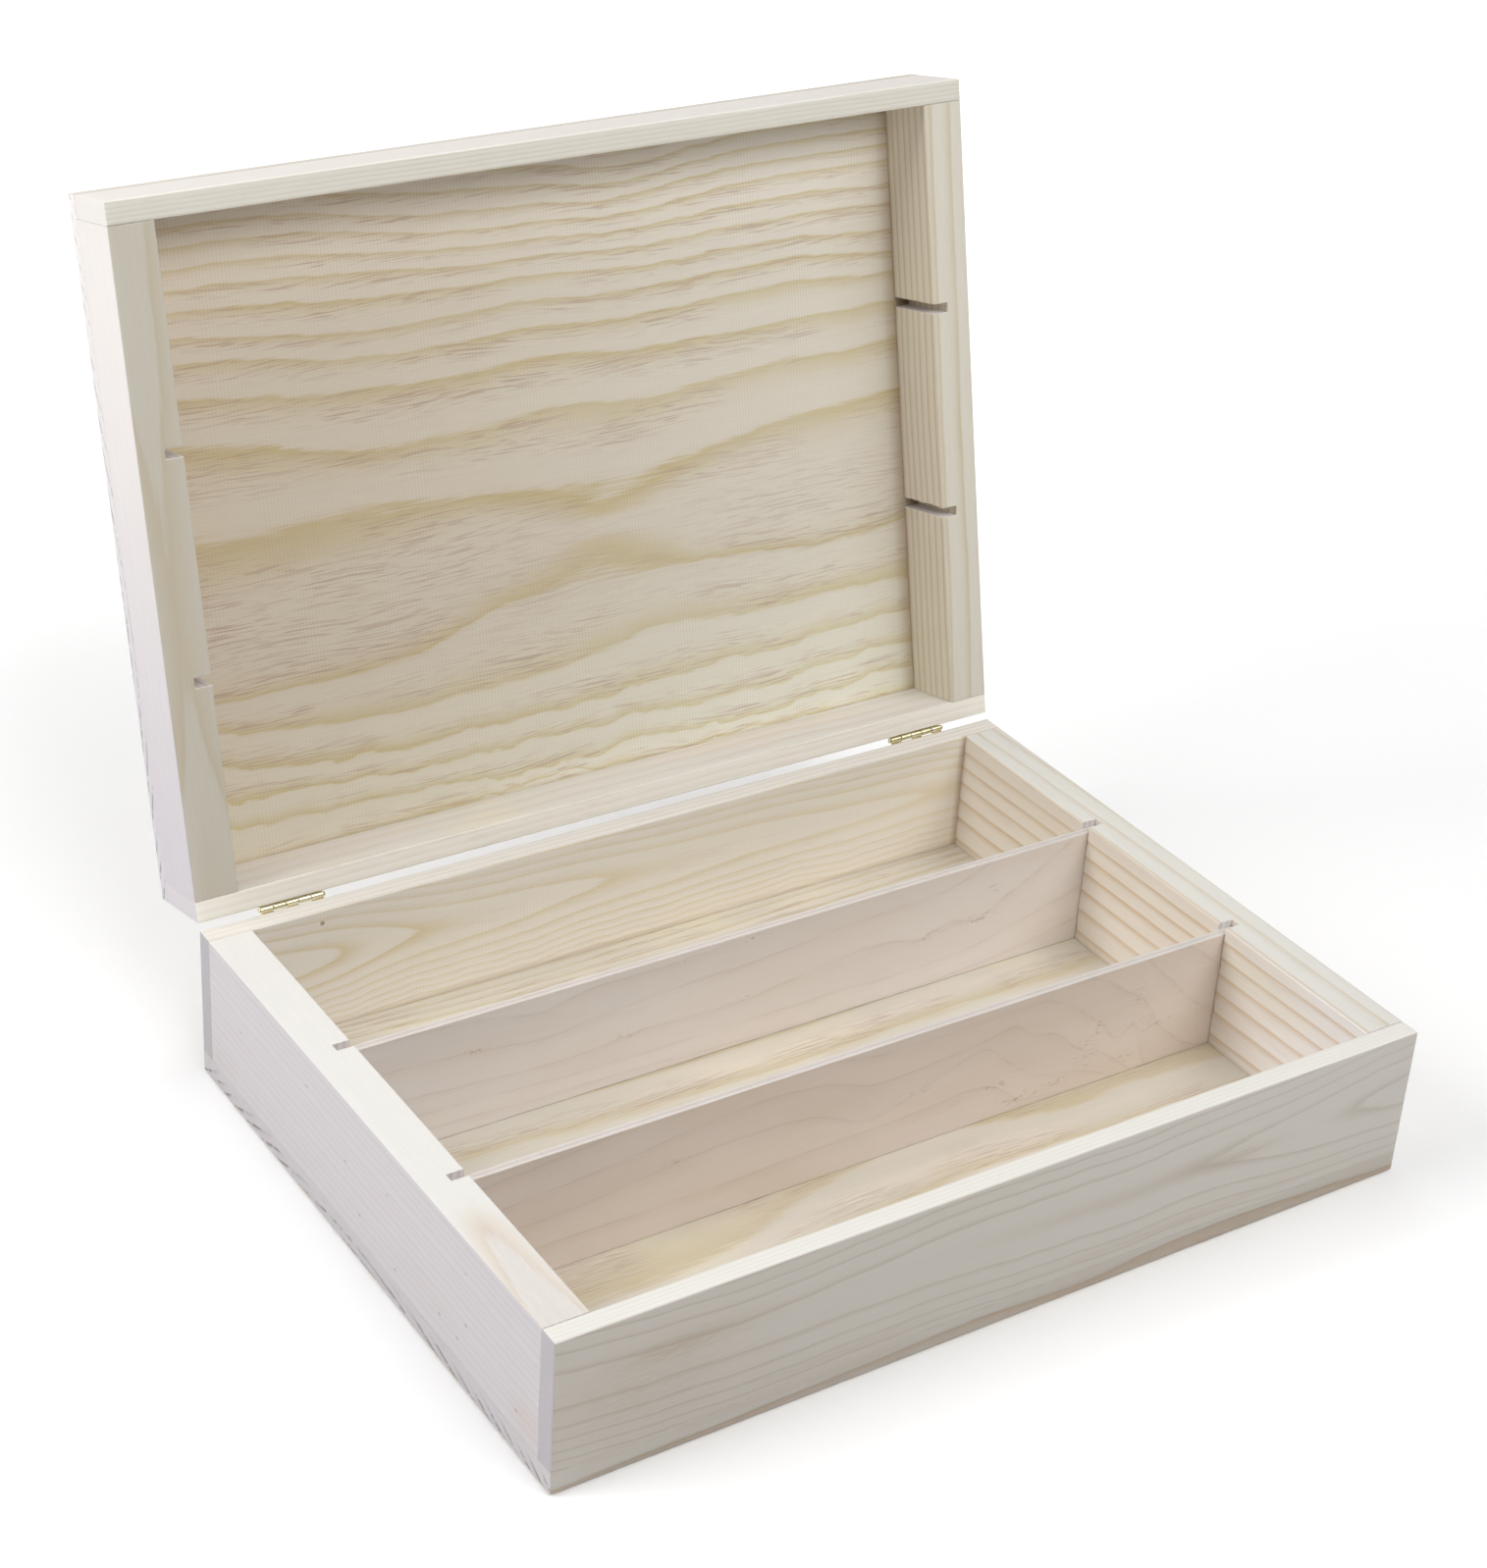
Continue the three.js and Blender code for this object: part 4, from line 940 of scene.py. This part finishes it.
# ------------------------------------------------------------------ lid boards
TP0 = LID_1 - TOP_T
board("lid_panel_wood", (-HW, -HD, TP0 + G2), (HW, HD, LID_1), "lid", M_LID_TOP, (X, Y, Z), (2.6, 1.8, 1.6),
      [(X, -1, 1, EP), (X, 1, 1, EP), (Y, 1, 1, EP), (Y, 1, -1, EP),
       (Z, -1, -1, E), (Z, 1, -1, E), (Z, -1, 1, E), (Z, 1, 1, E)],
      {None: lid_panel_rings, YN: rim(2.6, 0.003, 8, 0.5), YP: rim(2.6, 0.003, 9, 0.5),
       XN: disc(20, 270, 3.3), XP: disc(20, 270, 3.3)},
      stain={XN: ticks(LID_1, -1), XP: ticks(LID_1, -1), ZN: pore_zone}, lid=True, rims=(YN, YP, ZP))
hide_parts("lid_top_panel")

board("lid_front_wood", (-HW, -HD, LID_0), (HW, -YI, TP0 - G2), "lid", M_LID_FRONT, (X, Z, Y), (3.0, 1.8, 1.4),
      [(Z, -1, -1, E), (Z, 1, -1, E), (X, -1, -1, E), (X, 1, -1, EI), (Y, -1, -1, E), (Y, -1, 1, E)],
      {None: straight(3.6, 0.004, 21, 0.5), ZN: rim(1.5, 0.002, 5, 0.3), XN: rim(1.7), XP: rim(1.7)},
      lid=True, rims=(ZN,))
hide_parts("lid_front_board")

board("lid_back_wood", (-HW, YI, LID_0), (HW, HD, TP0 - G2), "lid", M_LID_BACK, (X, Z, Y), (3.0, 1.8, 1.4),
      [(Z, -1, 1, E), (Z, 1, 1, E), (X, 1, -1, E), (X, -1, -1, EI), (Y, -1, -1, E), (Y, -1, 1, E)],
      {None: straight(7.5, 0.012, 31, 1.6), ZN: rim(2.6, 0.003, 6, 0.6), XN: rim(1.7), XP: rim(1.7)},
      lid=True, rims=(ZN,))
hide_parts("lid_back_board")

board("lid_left_wood", (-HW, -yb, LID_0), (-XI, yb, TP0 - G2), "lid", M_LID_LEFT, (Y, Z, X), (1.6, 2.2, 0.6),
      [(Y, -1, -1, E), (Y, -1, 1, EI)],
      {None: straight(4.6, 0.003, 24, 0.4), ZN: lid_left_rim, YN: rim(2.4), YP: rim(2.4)},
      grooves=-1, chips=[(0.3, 0.12, 23), (0.3, 0.12, 27)], lid=True, rims=(ZN,))
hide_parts("lid_left_board")

board("lid_right_wood", (XI, -yb, LID_0), (HW, yb, TP0 - G2), "lid", M_LID_RIGHT, (Y, Z, X), (1.6, 2.2, 0.6),
      [(Y, -1, 1, E), (Y, -1, -1, EI)],
      {None: lid_right_inside, ZN: lid_right_rim, YN: rim(2.4), YP: rim(2.4)},
      grooves=1, chips=[(0.6, 0.14, 37), (0.8, 0.14, 39)], lid=True, rims=(ZN,))
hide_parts("lid_right_board")


# ------------------------------------------------------------------ dividers
def divider(name, node, body, y, mat, lines, flecks, seed):
    t = DIVIDER_T / 2
    lo, hi = np.array((-DIVIDER_X, y - t, DIVIDER_LOW)), np.array((DIVIDER_X, y + t, DIVIDER_TOP))
    r = 0.35
    xs = cuts(lo[0], hi[0], r, r, 2.0)
    ys = cuts(lo[1], hi[1], r, r, 0.5)
    zs = cuts(lo[2], hi[2], r, r, 1.4)
    V, F, S = grid_solid(xs, ys, zs)
    e = {}
    for k, (sb, sc) in enumerate(((-1, -1), (-1, 1), (1, -1), (1, 1))):
        b = (lo[1], 1) if sb < 0 else (hi[1], -1)
        c = (lo[2], 1) if sc < 0 else (hi[2], -1)
        soften(V, X, b, c, lambda s, k=k: 0.24 * (1 + 0.35 * wob(s, 9, seed + k) + 0.2 * wob(s, 2.6, seed + 30 + k)))
        b = (lo[2], 1) if sb < 0 else (hi[2], -1)
        c = (lo[0], 1) if sc < 0 else (hi[0], -1)
        soften(V, Y, b, c, 0.3)
        b = (lo[0], 1) if sb < 0 else (hi[0], -1)
        c = (lo[1], 1) if sc < 0 else (hi[1], -1)
        soften(V, Z, b, c, 0.18)
    a, c, th = V[:, 0], V[:, 2], V[:, 1] - y
    gc = np.stack([a, c, th], 1) * MM
    fa, fc = a[F], c[F]
    face = (np.abs(S) == 2)
    rings = np.zeros(F.shape)
    front = S == -2
    rings[face] = family(fa[face], fc[face], lines)
    back = S == 2
    rings[back] = family(-fa[back] * 0.9, 57 - fc[back], lines)
    stain = np.zeros(F.shape)
    stain[front] = spots(fa[front], fc[front], flecks)
    ob = mesh_object(name, V, F, mat)
    set_attributes(ob, gc, rings.ravel(), (~face).astype(float), stain.ravel())
    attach(ob, body)
    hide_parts(node)
    return ob


divider("divider_front_ply", "divider_front", "front_divider", GROOVE_Y[0], M_DIV_F, DIV_FRONT, DIV_FRONT_FLECKS, 5)
divider("divider_rear_ply", "divider_rear", "rear_divider", GROOVE_Y[1], M_DIV_R, DIV_REAR, DIV_REAR_FLECKS, 9)


# ------------------------------------------------------------------ hinges
def leaf_piece(name, node, body, hx, down):
    """A leaf cut from sheet brass, its knuckles rolled round the pin."""
    w = HINGE_L / 5
    gap = 0.12
    half = HINGE_L / 2
    mine = (0, 2, 4) if down else (1, 3)
    reach = LEAF_REACH
    flat = reach - 0.05                   # flat length, from the free edge up to the axis height
    rm_out = KNUCKLE_R
    roll = 2 * math.pi * 0.93
    notch = reach - KNUCKLE_R - 0.28
    xs_fixed = []
    for i in range(5):
        a, b = hx - half + i * w + gap, hx - half + (i + 1) * w - gap
        xs_fixed += [a, a + 0.06, a + 0.16, b - 0.16, b - 0.06, b]
    xs = cuts(hx - half + gap, hx + half - gap, 0.12, 0.12, 0.9, xs_fixed)
    s_flat = cuts(0, flat, 0.12, 0, 0.75, [notch, notch - 0.06, notch - 0.16])
    n_roll = 30
    s_roll = flat + np.arange(1, n_roll + 1) / n_roll * (roll * rm_out)
    s_roll = np.concatenate([s_roll[:-1], [s_roll[-1] - 0.1, s_roll[-1] - 0.04, s_roll[-1]]])
    ss = np.concatenate([s_flat, s_roll])
    ts = np.array([0, 0.04, 0.1, 0.25, 0.4, 0.46, LEAF_T])
    mid = [(v[:-1] + v[1:]) / 2 for v in (xs, ss, ts)]
    on_mine = np.zeros(len(mid[0]), bool)
    for i in mine:
        a, b = hx - half + i * w + gap, hx - half + (i + 1) * w - gap
        on_mine |= (mid[0] > a) & (mid[0] < b)
    solid = (on_mine[:, None] | (mid[1] < notch)[None, :])[:, :, None] & np.ones(len(mid[2]), bool)[None, None, :]
    V, F, S = grid_solid(xs, ss, ts, solid)
    # eased edges, in the sheet's own coordinates (x, along, thickness)
    end_s = ss[-1]
    spans = []
    for i in mine:
        spans.append((hx - half + i * w + gap, hx - half + (i + 1) * w - gap))
    for (a, b) in spans:
        for tf in ((0, 1), (LEAF_T, -1)):
            for xf in ((a, 1), (b, -1)):
                # edge along s: axis 1; other axes are t (2) then x (0)
                soften(V, 1, tf, xf, 0.1, (notch if xf[0] not in (xs[0], xs[-1]) else 0, end_s))
            soften(V, 0, (end_s, -1), tf, 0.1, (a, b))
    for tf in ((0, 1), (LEAF_T, -1)):
        soften(V, 0, (0.0, 1), tf, 0.1)
        if not down:
            for xf in ((xs[0], 1), (xs[-1], -1)):
                soften(V, 1, tf, xf, 0.1, (0, notch))
    # round the two free corners of the leaf in its own plane
    for xf in ((xs[0], 1), (xs[-1], -1)):
        soften(V, 2, xf, (0.0, 1), 0.8)
    x, s, t = V[:, 0], V[:, 1], V[:, 2]
    on_flat = s <= flat
    sgn = -1 if down else 1               # leaf below or above the axis (closed lid)
    zf = AXIS_Z + sgn * (reach - s)
    yf = LEAF_Y + t
    ang = (s - flat) / rm_out             # 0 where the sheet meets the axis height on the wood side
    rad = (AXIS_Y - LEAF_Y) - t
    rad = np.where(on_flat, rad, rm_out - t)
    yr = AXIS_Y - np.cos(ang) * rad
    zr = AXIS_Z - sgn * np.sin(ang) * rad
    # the flat runs into the roll with a short ease so the outer radius keeps to the knuckle's
    k = np.clip((s - (flat - 1.2)) / 1.2, 0, 1)
    k = k * k * (3 - 2 * k)
    yf = yf + k * ((AXIS_Y - rm_out) - LEAF_Y)
    W = np.stack([x, np.where(on_flat, yf, yr), np.where(on_flat, zf, zr)], 1)
    if not down:
        W = opened(W)
    flip = down  # keeps the faces pointing out after the mapping
    Q = F[:, ::-1] if flip else F
    ob = mesh_object(name, W, Q, M_BRASS, 40)
    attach(ob, body)
    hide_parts(node)
    return ob


def lathe(profile, n=40):
    """Closed solid of revolution: profile of (radius, height) from pole to pole."""
    V, F = [], []
    rings = []
    for r, h in profile:
        if r < 1e-6:
            rings.append([len(V)])
            V.append((0, 0, h))
        else:
            rings.append(list(range(len(V), len(V) + n)))
            for k in range(n):
                a = 2 * math.pi * k / n
                V.append((r * math.cos(a), r * math.sin(a), h))
    for p, q in zip(rings[:-1], rings[1:]):
        if len(p) == 1 and len(q) == 1:
            continue
        for k in range(n):
            k2 = (k + 1) % n
            if len(p) == 1:
                F.append([p[0], q[k2], q[k]])
            elif len(q) == 1:
                F.append([p[k], p[k2], q[0]])
            else:
                F.append([p[k], p[k2], q[k2], q[k]])
    return np.array(V, float), F


def place(V, origin, direction):
    """Profile height along direction, from origin."""
    d = np.array(direction, float)
    d /= np.linalg.norm(d)
    u = np.cross(d, (0, 0, 1.0)) if abs(d[2]) < 0.9 else np.cross(d, (1.0, 0, 0))
    u /= np.linalg.norm(u)
    v = np.cross(d, u)
    return np.array(origin) + V[:, :1] * u + V[:, 1:2] * v + V[:, 2:3] * d


def nail_piece(name, node, body, x, z, tip_y, lid):
    """Domed-head brass nail driven through the leaf, its point towards the inside of the box."""
    y_leaf = LEAF_Y + LEAF_T
    head_h, head_r, r = 0.45, 1.15, 0.5
    L = y_leaf - tip_y
    prof = [(0, 0)]
    prof += [(0.12, 0.05), (r * 0.55, 0.42), (r * 0.9, 0.95), (r, 1.25), (r, L - 0.12), (r + 0.02, L), (head_r - 0.12, L),
             (head_r - 0.02, L + 0.03), (head_r, L + 0.10)]
    for k in range(1, 8):
        a = math.pi / 2 * k / 8
        prof.append((head_r * math.cos(a), L + 0.10 + (head_h - 0.10) * math.sin(a)))
    prof.append((0, L + head_h))
    V, F = lathe(prof, 28)
    W = place(V, (x, tip_y, z), (0, 1, 0))
    if lid:
        W = opened(W)
    ob = mesh_object(name, W, F, M_BRASS, 40)
    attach(ob, body)
    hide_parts(node)


def pin_piece(name, node, hx):
    h, r, hr = 11.0, PIN_R, PIN_HEAD_R
    prof = [(0, -h - 0.42), (hr * 0.55, -h - 0.38), (hr * 0.85, -h - 0.28), (hr, -h - 0.12), (hr, -h - 0.03),
            (hr - 0.03, -h + 0.0), (r, -h + 0.0), (r, -h + 0.1)]
    prof += [(r, -h + 2 * h * i / 8) for i in range(1, 8)]
    prof += [(r, h - 0.1), (r, h - 0.0), (hr - 0.03, h - 0.0), (hr, h + 0.03), (hr, h + 0.12), (hr * 0.85, h + 0.28),
             (hr * 0.55, h + 0.38), (0, h + 0.42)]
    V, F = lathe(prof, 32)
    W = place(V, (hx, AXIS_Y, AXIS_Z), (1, 0, 0))
    ob = mesh_object(name, W, F, M_BRASS, 40)
    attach(ob, "tray")
    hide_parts(node)


for side, hx in zip(("left", "right"), HINGE_X):
    leaf_piece(f"hinge_{side}_tray_leaf_brass", f"hinge_{side}_tray_leaf", "tray", hx, True)
    leaf_piece(f"hinge_{side}_lid_leaf_brass", f"hinge_{side}_lid_leaf", "lid", hx, False)
    pin_piece(f"hinge_{side}_pin_brass", f"hinge_{side}_pin", hx)
    for k, s in ((1, -1), (2, 1)):
        nail_piece(f"hinge_{side}_tray_nail_{k}_brass", f"hinge_{side}_tray_nail_{k}", "tray", hx + s * NAIL_X,
                   AXIS_Z - NAIL_DOWN, YI - 0.15, False)
        nail_piece(f"hinge_{side}_lid_nail_{k}_brass", f"hinge_{side}_lid_nail_{k}", "lid", hx + s * NAIL_X,
                   AXIS_Z + NAIL_DOWN, YI + 0.8, True)

# ------------------------------------------------------------------ floor
def floor_material():
    m = Nodes("studio_floor")
    tc = m.node("ShaderNodeTexCoord").outputs["Object"]
    n = m.noise(m.scaled(tc, 3, 3, 3), 2.0, 0.5)
    bs = m.node("ShaderNodeBsdfPrincipled")
    m.put(bs.inputs["Base Color"], m.mix(n, (0.95, 0.95, 0.95), (0.96, 0.96, 0.96)))
    bs.inputs["Roughness"].default_value = 0.9
    bs.inputs["Specular IOR Level"].default_value = 0.0
    m.t.links.new(bs.outputs[0], m.out.inputs[0])
    return m.mat


fme = bpy.data.meshes.new("studio_floor")
fme.from_pydata([(-6, -6, -0.0004), (6, -6, -0.0004), (6, 6, -0.0004), (-6, 6, -0.0004)], [], [(0, 1, 2, 3)])
floor = bpy.data.objects.new("studio_floor", fme)
bpy.context.scene.collection.objects.link(floor)
fme.materials.append(floor_material())

# ------------------------------------------------------------------ camera
scene = bpy.context.scene
cam_data = bpy.data.cameras.new("camera")
cam = bpy.data.objects.new("camera", cam_data)
scene.collection.objects.link(cam)
right = Vector((0.841262449715864, -0.5376274610317681, 0.056870061039161146))
up = Vector((0.22704454636795607, 0.44680754420290053, 0.8653402755031931))
back = -Vector((0.49064066755888913, 0.7150662427970627, -0.4979477921925751))
rot = Matrix((right, up, back)).transposed().to_4x4()
cam.matrix_world = Matrix.Translation((-0.4693834902229046, -0.6437726078134172, 0.576917128202137)) @ rot
cam_data.lens = 71.8512
cam_data.sensor_width = 36.0
cam_data.clip_start = 0.01
cam_data.dof.use_dof = False
scene.camera = cam

# ------------------------------------------------------------------ light
world = bpy.data.worlds.new("studio")
scene.world = world
world.use_nodes = True
bg = world.node_tree.nodes["Background"]
bg.inputs[0].default_value = (1.0, 1.0, 1.0, 1.0)
bg.inputs[1].default_value = 0.03


def softbox(name, place_at, aim, w, h, power, spread=math.pi):
    d = bpy.data.lights.new(name, "AREA")
    d.shape = "RECTANGLE"
    d.size, d.size_y = w, h
    d.energy = power
    d.spread = spread
    o = bpy.data.objects.new(name, d)
    scene.collection.objects.link(o)
    o.location = place_at
    o.rotation_euler = (Vector(aim) - Vector(place_at)).to_track_quat("-Z", "Y").to_euler()
    return o


softbox("overhead_softbox", (0, 0.3, 2.0), (0, 0.3001, 0), 4.0, 4.0, 8.6)
softbox("left_softbox", (-1.4, 0.4, 1.1), (0, 0, 0.1), 1.0, 1.2, 18.7)
softbox("front_softbox", (0.1, -1.1, 1.3), (0, 0, 0.1), 1.2, 0.8, 14.6)
softbox("right_front_softbox", (0.8, -0.7, 1.3), (0, 0, 0.1), 0.9, 0.9, 6.6)
softbox("left_floor_softbox", (-0.75, 0.35, 1.3), (-0.75, 0.3501, 0), 1.0, 1.0, 2.2, spread=1.3)
softbox("backdrop_softbox", (0.95, 1.35, 1.3), (0.95, 1.3501, 0), 1.8, 1.8, 13.5, spread=1.6)

scene.view_settings.view_transform = "Standard"
scene.view_settings.look = "None"
scene.view_settings.exposure = 0.0
scene.view_settings.gamma = 1.0
